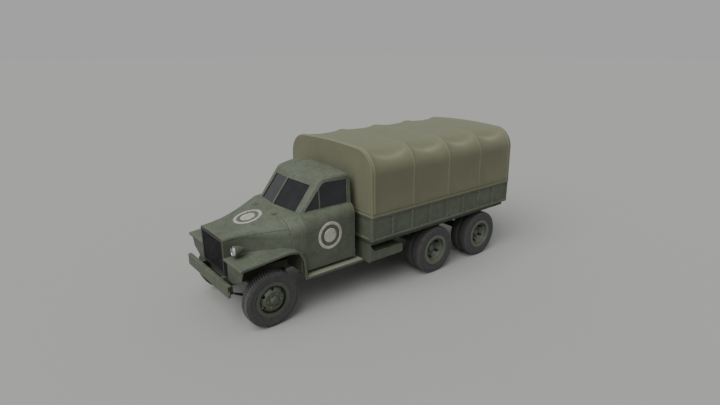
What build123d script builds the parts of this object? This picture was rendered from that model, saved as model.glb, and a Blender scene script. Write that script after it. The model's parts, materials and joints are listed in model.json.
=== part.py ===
from build123d import *
import math
import os

# Military cargo truck, 2.5 ton, 6x6, with a steel cargo body under a hooped canvas tilt.
# Millimetres. +X is forward, +Y is the truck's left and +Z is up, with the ground at z 0.
# Stations along X are measured from the front axle, as on a vehicle drawing. save() moves each
# finished piece forward by ORIGIN_SHIFT, so that the origin lies under the middle of the truck.

# ---------------------------------------------------------------- driving dimensions

# Lengths along the truck
FRONT_OVERHANG = 649.0  # front axle to the bumper's face
WHEELBASE = 4052.0  # front axle to the middle of the bogie
BOGIE_SPREAD = 1340.0  # middle axle to rear axle
BODY_REAR_OVERHANG = 1438.0  # middle of the bogie to the outside of the tailgate
CARGO_FRONT_X = -1754.0  # outside of the cargo body's front wall
CAB_REAR_X = -1630.0
DOOR_FRONT_X = -664.0  # seam between cowl and door
HOOD_REAR_X = -430.0  # seam between hood and cowl
GRILLE_X = 520.0

# Wheels and tyres, 7.50-20 on dished disc wheels
TYRE_R = 463.0
TYRE_HALF_W = 95.0
TYRE_BORE_R = 250.0
RIM_FLANGE_R = 292.0
RIM_HALF_W = 89.0
RIM_FLANGE_T = 8.0
DISC_T = 10.0
DISC_OFFSET = 111.0  # tyre middle to the face that bolts to the hub
DISC_FACE_R = 150.0
HAND_HOLE_R = 30.0
HAND_HOLE_CIRCLE_R = 192.0
HAND_HOLES = 6
NUT_CIRCLE_R = 111.0
NUT_R = 16.0  # to the corners
NUTS = 6
NUT_H = 24.0
HUB_CAP_T = 26.0
HUB_TO_DRUM = 62.0  # disc's seat to the drum's web
FRONT_TRACK_HALF = 865.0  # middle of a front tyre
HUB_FACE_Y = 995.0  # where the two discs of a bogie wheel bolt together
SPINDLE_R = 36.0
HUB_BARREL_R = 74.0
FRONT_HUB_REACH = 48.0  # how far a hub's cap stands out from its disc
BOGIE_HUB_REACH = 96.0
DRUM_R = 188.0
DRUM_W = 84.0
DRUM_T = 12.0
RUNNING_FIT = 0.08  # radial clearance of a turning fit
SEAT_GAP = 0.3  # clearance of a curved seat
MOVING_GAP = 6.0  # clearance of a part that swings

# Steering
KINGPIN_Y = 700.0
BALL_R = 92.0
BELL_T = 16.0
STEERING_ARM = 205.0
STEERING_ARM_Z = 577.0
TIE_ROD_R = 16.0

# Axles, springs and drive line
AXLE_TUBE_R = 50.0
DIFF_R = 140.0
FRONT_DIFF_Y = -210.0
FRONT_NOSE = 255.0  # axle to the flange that takes the front shaft
REAR_NOSE = 200.0
PINION_RISE = 60.0
BACKPLATE_R = 172.0
SPRING_Y = 450.0
SPRING_W = 64.0
SPRING_HALF_SPAN = 475.0
SPRING_CAMBER = 145.0
LEAF_T = 8.0
FRONT_LEAVES = 6
SPRING_PAD_T = 3.0  # flat packing between the leaves and the axle
SPRING_EYE_R = 20.0
SPRING_PIN_R = 9.0
HANGER_W = 52.0
HANGER_T = 10.0  # cheek on each side of a front spring's eye
HANGER_FOOT_T = 30.0
BOGIE_SPRING_Y = 530.0
BOGIE_SPRING_W = 76.0
BOGIE_SPRING_CAMBER = 85.0
BOGIE_LEAVES = 8
TRUNNION_R = 38.0
TRUNNION_Z = 560.0
SHAFT_R = 38.0
TRANSFER_CASE_X = -2080.0

# Engine and gearbox
ENGINE_FRONT_X = 300.0
ENGINE_REAR_X = -470.0
ENGINE_HALF_W = 215.0
ENGINE_BOTTOM_Z = 664.0
ENGINE_TOP_Z = 1270.0
ENGINE_MOUNTS = (200.0, -400.0)
ENGINE_MOUNT_W = 90.0
GEARBOX_REAR_X = -1180.0
GEARBOX_W = 300.0
GEARBOX_BOTTOM_Z = 560.0
GEARBOX_TOP_Z = 800.0

# Frame
RAIL_OUT_Y = 430.0
RAIL_W = 75.0
RAIL_BOTTOM_Z = 640.0
RAIL_TOP_Z = 810.0
RAIL_T = 8.0
FRAME_FRONT_X = 590.0
FRAME_REAR_X = -5330.0
CROSS_W = 70.0
CROSS_MEMBERS = (400.0, -1420.0, -2500.0, -3250.0, -4052.0, -4850.0)
BUMPER_HALF_W = 787.0
BUMPER_BOTTOM_Z = 636.0
BUMPER_TOP_Z = 825.0
BUMPER_T = 9.0
TOW_PIN_R = 20.0
TOW_JAW_HALF_H = 46.0
TOW_PLATE_T = 22.0

# Hood, cowl and cab
SHEET_T = 12.0  # hood and fender sheet with its folded edge
WALL_T = 42.0  # cab wall and door, inner and outer sheet together
HOOD_HALF_W = 420.0
HOOD_SIDE_BOTTOM_Z = 1085.0
HOOD_SEAM_FRONT_Z = 1352.0  # seam between hood and hood side, at the grille
HOOD_SEAM_REAR_Z = 1470.0
HOOD_HINGES = (-320.0, 320.0)
HOOD_HINGE_Z = 1618.0
HOOD_PIN_R = 3.5
HOOD_KNUCKLE_R = 7.0
HOOD_KNUCKLE_HALF_W = 36.0
HOOD_STRAP_L = 46.0
CAB_HALF_W = 918.0
CAB_BOTTOM_Z = 742.0
CAB_FLOOR_Z = 866.0
FLOOR_T = 36.0
FIREWALL_X = -560.0
ROOF_CROWN_Z = 2245.0
ROOF_EDGE_Z = 2171.0  # roof at ROOF_EDGE_Y, before its rounding
ROOF_EDGE_Y = 900.0
ROOF_TOP_X = -1600.0  # highest station of the roof, which falls from here to the windscreen
ROOF_FALL_R = 1900.0  # radius of that fall
ROOF_ROUND_R = 84.0
SILL_Z = 1600.0  # height at which the screen and side planes below are given
SCREEN_X = -528.0  # windscreen on the middle line at SILL_Z
SCREEN_RAKE = -0.79  # millimetres back for each one up
SCREEN_SWEEP = -0.235  # millimetres back for each one out to the side
SIDE_REAR_Y = 816.0  # cab side glass plane at CAB_REAR_X and SILL_Z
SIDE_TAPER = -0.139  # millimetres in for each one forward
SIDE_TUMBLE = -0.075  # millimetres in for each one up
DOOR_TOP_Z = 2118.0
DOOR_CORNER_R = 170.0  # rounding of the door's front top corner, under the roof's edge
SIDE_GLASS_TOP_Z = 2090.0
SIDE_GLASS_CORNER_R = 130.0
VENT_POST_X = -1056.0  # post between the quarter glass and the main side glass
VENT_POST_HALF = 8.0
DOOR_REAR_X = -1600.0
DOOR_HINGE_Y = 930.0
GLASS_T = 6.0
GLASS_INSET = 14.0
SCREEN_BAR_HALF = 14.0

# Fenders, running boards and side tanks
FENDER_OUT_Y = 998.0
FENDER_LIP = 38.0
BOARD_OUT_Y = 1008.0
BOARD_IN_Y = 700.0
BOARD_TOP_Z = 680.0
BOARD_DEPTH = 40.0
BOARD_REAR_X = -1734.0
BOARD_BRACKETS = (-850.0, -1550.0)
TANK_FRONT_X = -1800.0
TANK_REAR_X = -2575.0
TANK_IN_Y = 716.0
TANK_OUT_Y = 1117.0
TANK_BOTTOM_Z = 634.0
TANK_TOP_Z = 800.0

# Lamps
LAMP_R = 85.0
LAMP_X = 415.0
LAMP_Y = 560.0
LAMP_Z = 1252.0
LAMP_LENGTH = 200.0
TAIL_LAMP_R = 36.0
TAIL_LAMP_Y = 1010.0

# Cargo body and tilt
BODY_HALF_W = 1231.0
BODY_BOTTOM_Z = 1046.0
BODY_TOP_Z = 1475.0
BODY_FLOOR_T = 40.0
SIDE_PANEL_T = 18.0
RIB_DEPTH = 18.0
RIB_W = 40.0
RAIL_H = 36.0
BAYS = 8
SUB_SILL_H = 92.0
SILL_W = 40.0
BEAM_W = 60.0
BEAM_H = 86.0
TAILGATE_T = 36.0
GATE_HINGES = (-860.0, -290.0, 290.0, 860.0)
GATE_PIN_R = 6.0
GATE_KNUCKLE_R = 12.0
GATE_CHEEK_R = 10.0
GATE_KNUCKLE_HALF_W = 30.0
TILT_TOP_Z = 2628.0
TILT_SHOULDER_R = 412.0
TILT_SIDE_Y = 1224.0  # outside of the canvas at the shoulders
TILT_HEM_Y = 1241.0  # outside of the canvas at the hem
TILT_HEM_Z = 1470.0
CANVAS_T = 9.0
BOWS = 5
BOW_W = 40.0
BOW_T = 22.0

# Seat, steering wheel and grille
SEAT_FRONT_X = -1020.0
SEAT_REAR_X = -1575.0
SEAT_BOTTOM_Z = 1130.0
SEAT_TOP_Z = 1260.0
SEAT_BACK_TOP_Z = 1660.0
SEAT_HALF_W = 610.0
SEAT_BACK_T = 108.0
SEAT_BACK_TOP_T = 70.0
SEAT_ROUND_R = 36.0
STEERING_X = -985.0
STEERING_Y = 370.0
STEERING_Z = 1440.0
STEERING_R = 215.0
STEERING_TILT = 38.0
STEERING_RIM_R = 12.0
GRILLE_BOTTOM_Z = 838.0
GRILLE_BARS = 15
CROSS_BEAMS = 8
TILT_CROWN = 28.0  # rise of the tilt's top between its shoulders

# ---------------------------------------------------------------- worked out from these

BODY_REAR_X = -WHEELBASE - BODY_REAR_OVERHANG
MID_AXLE_X = -WHEELBASE + BOGIE_SPREAD / 2
REAR_AXLE_X = -WHEELBASE - BOGIE_SPREAD / 2
OVERALL_L = FRONT_OVERHANG - BODY_REAR_X
ORIGIN_SHIFT = OVERALL_L / 2 - FRONT_OVERHANG
AXLE_Z = TYRE_R
CARGO_FLOOR_Z = BODY_BOTTOM_Z + BODY_FLOOR_T
HOOD_HINGE_X = HOOD_REAR_X - MOVING_GAP / 2
GATE_HINGE_X = BODY_REAR_X + GATE_KNUCKLE_R
GATE_HINGE_Z = BODY_BOTTOM_Z - 10
FAR = 4000.0  # longer than any piece, for cutting tools


# ---------------------------------------------------------------- shape helpers


def box(x0, x1, y0, y1, z0, z1):
    """Block between two stations on each axis."""
    middle = ((x0 + x1) / 2, (y0 + y1) / 2, (z0 + z1) / 2)
    return Pos(*middle) * Box(abs(x1 - x0), abs(y1 - y0), abs(z1 - z0))


def side_prism(points, y0, y1):
    """Prism whose outline is given by (x, z) points, between two y stations."""
    face = make_face(Polyline(*[(x, y0, z) for x, z in points], close=True))
    return extrude(face, amount=y1 - y0, dir=(0, 1, 0))


def front_prism(points, x0, x1):
    """Prism whose outline is given by (y, z) points, between two x stations."""
    face = make_face(Polyline(*[(x0, y, z) for y, z in points], close=True))
    return extrude(face, amount=x1 - x0, dir=(1, 0, 0))


def rod(start, end, radius):
    """Round bar from one point to another."""
    start, end = Vector(*start), Vector(*end)
    plane = Plane(origin=start, z_dir=end - start)
    return extrude(plane * Circle(radius), amount=(end - start).length)


def turned_y(profile, x, y, z, outward=1):
    """Solid of revolution about a line along Y. The profile is (radius, distance outward)."""
    points = [(radius, outward * distance, 0) for radius, distance in profile]
    face = make_face(Polyline(*points, close=True))
    return Pos(x, y, z) * revolve(face, Axis.Y)


def turned_x(profile, x, y, z):
    """Solid of revolution about a line along X. The profile is (distance forward, radius)."""
    face = make_face(Polyline(*[(distance, radius, 0) for distance, radius in profile], close=True))
    return Pos(x, y, z) * revolve(face, Axis.X)


def other_side(shape):
    """The same piece on the right of the truck."""
    return mirror(shape, about=Plane.XZ)


def fused(pieces):
    """One solid from pieces that meet."""
    return pieces[0].fuse(*pieces[1:]).clean() if len(pieces) > 1 else pieces[0]


def pair(shape):
    """Left piece and its mirror image as two solids of one node."""
    return Compound(children=[*shape.solids(), *other_side(shape).solids()])


PIECES = {}


def save(name, shape):
    """Keep a finished piece under its node's name, in the truck's own frame."""
    PIECES[name] = Pos(ORIGIN_SHIFT, 0, 0) * shape


# ---------------------------------------------------------------- wheels and tyres


def tyre(x, y):
    """One tyre, with a crowned tread and bulged side walls."""
    bead_w = RIM_HALF_W - RIM_FLANGE_T - 6
    wall_r = (TYRE_R + RIM_FLANGE_R) / 2 + 20
    tread_w = TYRE_HALF_W - 14
    half = [
        (TYRE_BORE_R, bead_w),
        (wall_r, TYRE_HALF_W),
        (TYRE_R - 5, tread_w),
    ]
    profile = half + [(TYRE_R, 0)] + [(radius, -distance) for radius, distance in reversed(half)]
    return turned_y(profile, x, y, AXLE_Z)


def disc_wheel(x, y, outward):
    """Rim and dished disc of one wheel. outward is the side on which the disc bulges."""
    well_r = TYRE_BORE_R - 16
    seat_r = TYRE_BORE_R - SEAT_GAP
    bead_w = RIM_HALF_W - RIM_FLANGE_T
    rim = [
        (RIM_FLANGE_R, -RIM_HALF_W),
        (RIM_FLANGE_R, -bead_w - SEAT_GAP),
        (seat_r, -bead_w - SEAT_GAP),
        (seat_r, bead_w + SEAT_GAP),
        (RIM_FLANGE_R, bead_w + SEAT_GAP),
        (RIM_FLANGE_R, RIM_HALF_W),
        (well_r, RIM_HALF_W),
        (well_r, -RIM_HALF_W),
    ]
    face_in = DISC_OFFSET - DISC_T
    disc = [
        (well_r + 2, -18),
        (well_r + 2, 22),
        (DISC_FACE_R + 6, DISC_OFFSET),
        (HUB_BARREL_R, DISC_OFFSET),
        (HUB_BARREL_R, face_in),
        (DISC_FACE_R, face_in),
        (well_r - 12, -18),
    ]
    wheel = turned_y(rim, x, y, AXLE_Z, outward) + turned_y(disc, x, y, AXLE_Z, outward)
    for number in range(HAND_HOLES):
        angle = math.radians((number + 0.5) * 360 / HAND_HOLES)
        hole_x = x + HAND_HOLE_CIRCLE_R * math.cos(angle)
        hole_z = AXLE_Z + HAND_HOLE_CIRCLE_R * math.sin(angle)
        start = (hole_x, y, hole_z)
        end = (hole_x, y + outward * (DISC_OFFSET + 20), hole_z)
        wheel = wheel - rod(start, end, HAND_HOLE_R)
    return wheel


def hub(x, face_y, nut_face_y, cap_y):
    """Left hub, drum and wheel nuts. The discs bolt against face_y, and the hub ends at cap_y."""
    drum_web = face_y - HUB_TO_DRUM
    drum_in = drum_web - DRUM_W
    bore_end = cap_y - HUB_CAP_T
    profile = [
        (0, cap_y),
        (HUB_BARREL_R - 24, cap_y),
        (HUB_BARREL_R - 12, cap_y - 12),
        (HUB_BARREL_R - SEAT_GAP, nut_face_y + 8),
        (HUB_BARREL_R - SEAT_GAP, face_y),
        (DISC_FACE_R - 12, face_y),
        (DISC_FACE_R - 12, face_y - 14),
        (HUB_BARREL_R + 8, face_y - 30),
        (HUB_BARREL_R + 8, drum_web),
        (DRUM_R, drum_web),
        (DRUM_R, drum_in),
        (DRUM_R - DRUM_T, drum_in),
        (DRUM_R - DRUM_T, drum_web - DRUM_T),
        (SPINDLE_R + RUNNING_FIT, drum_web - DRUM_T),
        (SPINDLE_R + RUNNING_FIT, bore_end),
        (0, bore_end),
    ]
    body = turned_y(profile, x, 0, AXLE_Z)
    for number in range(NUTS):
        angle = math.radians(number * 360 / NUTS)
        nut_x = x + NUT_CIRCLE_R * math.cos(angle)
        nut_z = AXLE_Z + NUT_CIRCLE_R * math.sin(angle)
        nut = Plane(origin=(nut_x, face_y - 4, nut_z), z_dir=(0, 1, 0)) * RegularPolygon(NUT_R, 6)
        body = body + extrude(nut, amount=nut_face_y + NUT_H + 4 - face_y)
    return body


def front_wheel():
    """Left front wheel: one disc that bulges outward, on its hub."""
    face_y = FRONT_TRACK_HALF + DISC_OFFSET - DISC_T
    disc = disc_wheel(0, FRONT_TRACK_HALF, 1)
    return fused([disc, hub(0, face_y, face_y + DISC_T, face_y + FRONT_HUB_REACH)])


def bogie_wheel(x):
    """Left bogie wheel: two discs bolted back to back on one hub."""
    inner = disc_wheel(x, HUB_FACE_Y - DISC_OFFSET, 1)
    outer = disc_wheel(x, HUB_FACE_Y + DISC_OFFSET, -1)
    cap_y = HUB_FACE_Y + BOGIE_HUB_REACH
    return fused([inner, outer, hub(x, HUB_FACE_Y - DISC_T, HUB_FACE_Y + DISC_T, cap_y)])


def make_wheels():
    tyres = tyre(0, FRONT_TRACK_HALF)
    wheel = front_wheel()
    save("front_tyre_left", tyres)
    save("front_tyre_right", other_side(tyres))
    save("front_wheel_left", wheel)
    save("front_wheel_right", other_side(wheel))
    for name, x in (("mid", MID_AXLE_X), ("rear", REAR_AXLE_X)):
        left = [tyre(x, HUB_FACE_Y - DISC_OFFSET), tyre(x, HUB_FACE_Y + DISC_OFFSET)]
        save(f"{name}_tyres_left", Compound(children=left))
        save(f"{name}_tyres_right", Compound(children=[other_side(one) for one in left]))
        wheel = bogie_wheel(x)
        save(f"{name}_wheels_left", wheel)
        save(f"{name}_wheels_right", other_side(wheel))


# ---------------------------------------------------------------- axles and steering


def make_front_axle():
    """Tube with its differential, and a ball at each end for the knuckle to turn on."""
    tube = rod((0, -KINGPIN_Y, AXLE_Z), (0, KINGPIN_Y, AXLE_Z), AXLE_TUBE_R)
    balls = [Pos(0, side * KINGPIN_Y, AXLE_Z) * Sphere(BALL_R) for side in (1, -1)]
    half_w = 95.0
    differential = [
        (0, -half_w),
        (AXLE_TUBE_R + 12, -half_w),
        (DIFF_R, -half_w + 60),
        (DIFF_R, half_w - 60),
        (AXLE_TUBE_R + 12, half_w),
        (0, half_w),
    ]
    casing = turned_y(differential, 0, FRONT_DIFF_Y, AXLE_Z)
    nose = rod((0, FRONT_DIFF_Y, AXLE_Z), (-FRONT_NOSE, FRONT_DIFF_Y, AXLE_Z), 58)
    seats = []
    for side in (1, -1):
        y = side * SPRING_Y
        top = AXLE_Z - AXLE_TUBE_R + 20
        bottom = AXLE_Z - AXLE_TUBE_R - 8 + SPRING_PAD_T
        seats.append(box(-60, 60, y - SPRING_W / 2, y + SPRING_W / 2, bottom, top))
    save("front_axle", fused([tube, *balls, casing, nose, *seats]))


def knuckle():
    """Left steering knuckle: bell over the ball, backing plate, spindle and steering arm."""
    bell_out_r = BALL_R + BELL_T
    web_y = FRONT_TRACK_HALF + DISC_OFFSET - DISC_T - 62 - DRUM_W
    plate_y = web_y - MOVING_GAP - 8
    bell = Pos(0, KINGPIN_Y, AXLE_Z) * Sphere(bell_out_r)
    bell = bell & box(-FAR, FAR, KINGPIN_Y - 18, plate_y + 8, 0, FAR)
    bell = bell - Pos(0, KINGPIN_Y, AXLE_Z) * Sphere(BALL_R + SEAT_GAP)
    plate = rod((0, plate_y, AXLE_Z), (0, plate_y + 8, AXLE_Z), BACKPLATE_R)
    plate = plate - Pos(0, KINGPIN_Y, AXLE_Z) * Sphere(BALL_R + SEAT_GAP)
    spindle_end = FRONT_TRACK_HALF + DISC_OFFSET - DISC_T + 48 - 26 - 2
    spindle = rod((0, KINGPIN_Y + BALL_R + 2, AXLE_Z), (0, spindle_end, AXLE_Z), SPINDLE_R)
    top_cap = rod((0, KINGPIN_Y, AXLE_Z + BALL_R + 4), (0, KINGPIN_Y, AXLE_Z + bell_out_r + 14), 30)
    low_cap = rod((0, KINGPIN_Y, AXLE_Z - BALL_R - 4), (0, KINGPIN_Y, AXLE_Z - bell_out_r - 14), 30)
    arm_half = 14.0
    low_z = STEERING_ARM_Z - arm_half
    arm = box(-STEERING_ARM, -10, KINGPIN_Y - 20, KINGPIN_Y + 20, low_z, low_z + 2 * arm_half)
    arm_eye = Pos(-STEERING_ARM, KINGPIN_Y, STEERING_ARM_Z) * Cylinder(26, 2 * arm_half)
    pin_hole = Pos(-STEERING_ARM, KINGPIN_Y, STEERING_ARM_Z) * Cylinder(10 + RUNNING_FIT, 60)
    arm = arm + arm_eye
    arm = arm - Pos(0, KINGPIN_Y, AXLE_Z) * Sphere(BALL_R + BELL_T / 2)
    return fused([bell, plate, spindle, top_cap, low_cap, arm]) - pin_hole


def make_steering():
    left = knuckle()
    save("steering_knuckle_left", left)
    save("steering_knuckle_right", other_side(left))
    # The track rod lies under the arms' eyes, and its pins stand up through them.
    eye_half = TIE_ROD_R + 3
    rod_z = STEERING_ARM_Z - 14 - 1 - eye_half
    ends = [(-STEERING_ARM, side * KINGPIN_Y, rod_z) for side in (1, -1)]
    bar = rod(ends[1], ends[0], TIE_ROD_R)
    pieces = [bar]
    for x, y, z in ends:
        pieces.append(Pos(x, y, z) * Cylinder(24, 2 * eye_half))
        pieces.append(rod((x, y, z), (x, y, STEERING_ARM_Z + 20), 10))
    save("tie_rod", fused(pieces))


def axle_with_differential(x, through_drive):
    """One driven bogie axle: tube, round differential casing, spindles and backing plates."""
    half_w = 110.0
    plate_y = HUB_FACE_Y - DISC_T - 62 - DRUM_W - MOVING_GAP - 8
    spindle_end = HUB_FACE_Y + 96 - 26 - 2
    differential = [
        (0, -half_w),
        (AXLE_TUBE_R + 16, -half_w),
        (DIFF_R + 12, -half_w + 70),
        (DIFF_R + 12, half_w - 70),
        (AXLE_TUBE_R + 16, half_w),
        (0, half_w),
    ]
    pieces = [
        rod((x, -plate_y, AXLE_Z), (x, plate_y, AXLE_Z), AXLE_TUBE_R + 6),
        turned_y(differential, x, 0, AXLE_Z),
        rod((x, 0, AXLE_Z + PINION_RISE), (x + REAR_NOSE, 0, AXLE_Z + PINION_RISE), 58),
    ]
    if through_drive:
        pieces.append(rod((x, 0, AXLE_Z + PINION_RISE), (x - REAR_NOSE, 0, AXLE_Z + PINION_RISE), 58))
    for side in (1, -1):
        pieces.append(rod((x, side * plate_y, AXLE_Z), (x, side * (plate_y + 8), AXLE_Z), BACKPLATE_R))
        pieces.append(rod((x, side * plate_y, AXLE_Z), (x, side * spindle_end, AXLE_Z), SPINDLE_R))
        y0 = side * (BOGIE_SPRING_Y - BOGIE_SPRING_W / 2 - 8)
        y1 = side * (BOGIE_SPRING_Y + BOGIE_SPRING_W / 2 + 8)
        pieces.append(box(x - 60, x + 60, min(y0, y1), max(y0, y1), AXLE_Z, bogie_leaf_end_z()))
    return fused(pieces)


def bogie_leaf_end_z():
    """Height of the pad on which the end of the lowest full-length leaf rests."""
    return AXLE_Z + AXLE_TUBE_R + 26


# ---------------------------------------------------------------- springs and drive line


def leaf(x, z, half_span, camber, thickness, y0, y1):
    """One leaf, bent to an arc. z is its underside at the middle, camber the rise at its ends."""
    radius = (half_span**2 + camber**2) / (2 * abs(camber))
    up = 1 if camber > 0 else -1
    centre_z = z + up * radius

    def on_arc(offset_r, reach):
        r = radius + offset_r
        return centre_z - up * math.sqrt(r**2 - reach**2)

    low, high = (0, -thickness) if up > 0 else (0, thickness)
    edges = []
    for offset_r in (low, high):
        end_z = on_arc(offset_r, half_span)
        ends = [(x - half_span, y0, end_z), (x + half_span, y0, end_z)]
        middle = (x, y0, on_arc(offset_r, 0))
        edges.append(ThreePointArc(ends[0], middle, ends[1]))
    edges.append(Line(edges[0] @ 0, edges[1] @ 0))
    edges.append(Line(edges[0] @ 1, edges[1] @ 1))
    return extrude(make_face(edges), amount=y1 - y0, dir=(0, 1, 0))


def front_spring():
    """Left front spring, slung under the axle, its longest leaf on top with an eye at each end."""
    y0 = SPRING_Y - SPRING_W / 2
    y1 = SPRING_Y + SPRING_W / 2
    top_z = AXLE_Z - AXLE_TUBE_R - 8
    main_z = top_z - LEAF_T
    radius = (SPRING_HALF_SPAN**2 + SPRING_CAMBER**2) / (2 * SPRING_CAMBER)
    pieces = []
    for number in range(FRONT_LEAVES):
        half = SPRING_HALF_SPAN * (1 - number / (FRONT_LEAVES + 1))
        z = main_z - number * LEAF_T
        own_r = radius + number * LEAF_T
        camber = own_r - math.sqrt(own_r**2 - half**2)
        pieces.append(leaf(0, z, half, camber, LEAF_T, y0, y1))
    pieces.append(box(-55, 55, y0, y1, main_z, top_z + SPRING_PAD_T))
    clamp_low = main_z - FRONT_LEAVES * LEAF_T
    pieces.append(box(-50, 50, y0 - 8, y1 + 8, clamp_low, main_z - (FRONT_LEAVES - 1) * LEAF_T + 3))
    eye_z = front_eye_z()
    for x in (SPRING_HALF_SPAN, -SPRING_HALF_SPAN):
        pieces.append(rod((x, y0, eye_z), (x, y1, eye_z), SPRING_EYE_R))
    spring = fused(pieces)
    for x in (SPRING_HALF_SPAN, -SPRING_HALF_SPAN):
        spring = spring - rod((x, y0 - 1, eye_z), (x, y1 + 1, eye_z), SPRING_PIN_R + SEAT_GAP)
    return spring


def front_eye_z():
    """Height of the front springs' eyes."""
    return AXLE_Z - AXLE_TUBE_R - 8 - LEAF_T / 2 + SPRING_CAMBER


def bogie_spring():
    """Left bogie spring, over the trunnion, its ends resting on the two axles."""
    y0 = BOGIE_SPRING_Y - BOGIE_SPRING_W / 2
    y1 = BOGIE_SPRING_Y + BOGIE_SPRING_W / 2
    full_half = BOGIE_SPREAD / 2 + 50
    end_z = bogie_leaf_end_z()
    radius = (full_half**2 + BOGIE_SPRING_CAMBER**2) / (2 * BOGIE_SPRING_CAMBER)
    drop_at_axle = radius - math.sqrt(radius**2 - (BOGIE_SPREAD / 2 + 50) ** 2)
    low_z = end_z + drop_at_axle + SEAT_GAP
    pieces = []
    for number in range(BOGIE_LEAVES):
        half = full_half * (1 - number / (BOGIE_LEAVES + 1))
        own_r = radius + number * LEAF_T
        camber = own_r - math.sqrt(own_r**2 - half**2)
        pieces.append(leaf(-WHEELBASE, low_z + number * LEAF_T, half, -camber, LEAF_T, y0, y1))
    top_z = low_z + BOGIE_LEAVES * LEAF_T
    pieces.append(box(-WHEELBASE - 70, -WHEELBASE + 70, y0 - 8, y1 + 8, top_z - LEAF_T, top_z + 14))
    seat = box(-WHEELBASE - 70, -WHEELBASE + 70, y0 - 8, y1 + 8, TRUNNION_Z, low_z + LEAF_T / 2)
    hub_ring = rod((-WHEELBASE, y0 - 8, TRUNNION_Z), (-WHEELBASE, y1 + 8, TRUNNION_Z), TRUNNION_R + 30)
    bore = rod((-WHEELBASE, y0 - 9, TRUNNION_Z), (-WHEELBASE, y1 + 9, TRUNNION_Z), TRUNNION_R + SEAT_GAP)
    return fused([*pieces, seat, hub_ring]) - bore


def make_springs_and_axles():
    save("front_springs", pair(front_spring()))
    save("bogie_springs", pair(bogie_spring()))
    save("mid_axle", axle_with_differential(MID_AXLE_X, True))
    save("rear_axle", axle_with_differential(REAR_AXLE_X, False))


def make_drive_line():
    """Transfer case and the three propeller shafts, with a joint yoke at each shaft's end."""
    case_half_l = 150.0
    high_z = AXLE_Z + PINION_RISE
    case = box(TRANSFER_CASE_X - case_half_l, TRANSFER_CASE_X + case_half_l, -300, 150, 405, 630)
    case = fillet(case.edges().filter_by(Axis.X), 30)
    ear_y = RAIL_OUT_Y - RAIL_T
    ears = box(TRANSFER_CASE_X - 40, TRANSFER_CASE_X + 40, -ear_y, ear_y, 590, RAIL_BOTTOM_Z)
    line = [case, ears]
    shafts = [
        # start x, stop x, y, z
        (TRANSFER_CASE_X + case_half_l - 2, -FRONT_NOSE, FRONT_DIFF_Y, AXLE_Z),
        (MID_AXLE_X + REAR_NOSE, TRANSFER_CASE_X - case_half_l + 2, 0, high_z),
        (REAR_AXLE_X + REAR_NOSE, MID_AXLE_X - REAR_NOSE, 0, high_z),
    ]
    last = []
    for number, (x0, x1, y, z) in enumerate(shafts):
        x0 += SEAT_GAP
        x1 -= SEAT_GAP
        parts = [rod((x0, y, z), (x1, y, z), SHAFT_R)]
        parts.append(rod((x0, y, z), (x0 + 70, y, z), SHAFT_R + 16))
        parts.append(rod((x1 - 70, y, z), (x1, y, z), SHAFT_R + 16))
        (last if number == 2 else line).extend(parts)
    save("drive_line", Compound(children=[*fused(line).solids(), *fused(last).solids()]))


def make_engine():
    """Engine and gearbox as one plain heavy block, on its four mounts."""
    block = box(ENGINE_REAR_X, ENGINE_FRONT_X, -ENGINE_HALF_W, ENGINE_HALF_W, ENGINE_BOTTOM_Z, ENGINE_TOP_Z)
    block = chamfer(block.edges().filter_by(Axis.X), 40)
    gear_half = GEARBOX_W / 2
    gearbox = box(GEARBOX_REAR_X, ENGINE_REAR_X + 10, -gear_half, gear_half, GEARBOX_BOTTOM_Z, GEARBOX_TOP_Z)
    pieces = [block, gearbox]
    web_y = RAIL_OUT_Y - RAIL_T
    low_z = RAIL_BOTTOM_Z + RAIL_T
    for x in ENGINE_MOUNTS:
        half = ENGINE_MOUNT_W / 2
        pieces.append(box(x - half, x + half, -web_y, web_y, low_z, ENGINE_BOTTOM_Z + 36))
    save("engine_block", fused(pieces))


# ---------------------------------------------------------------- frame and bumper


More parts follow.
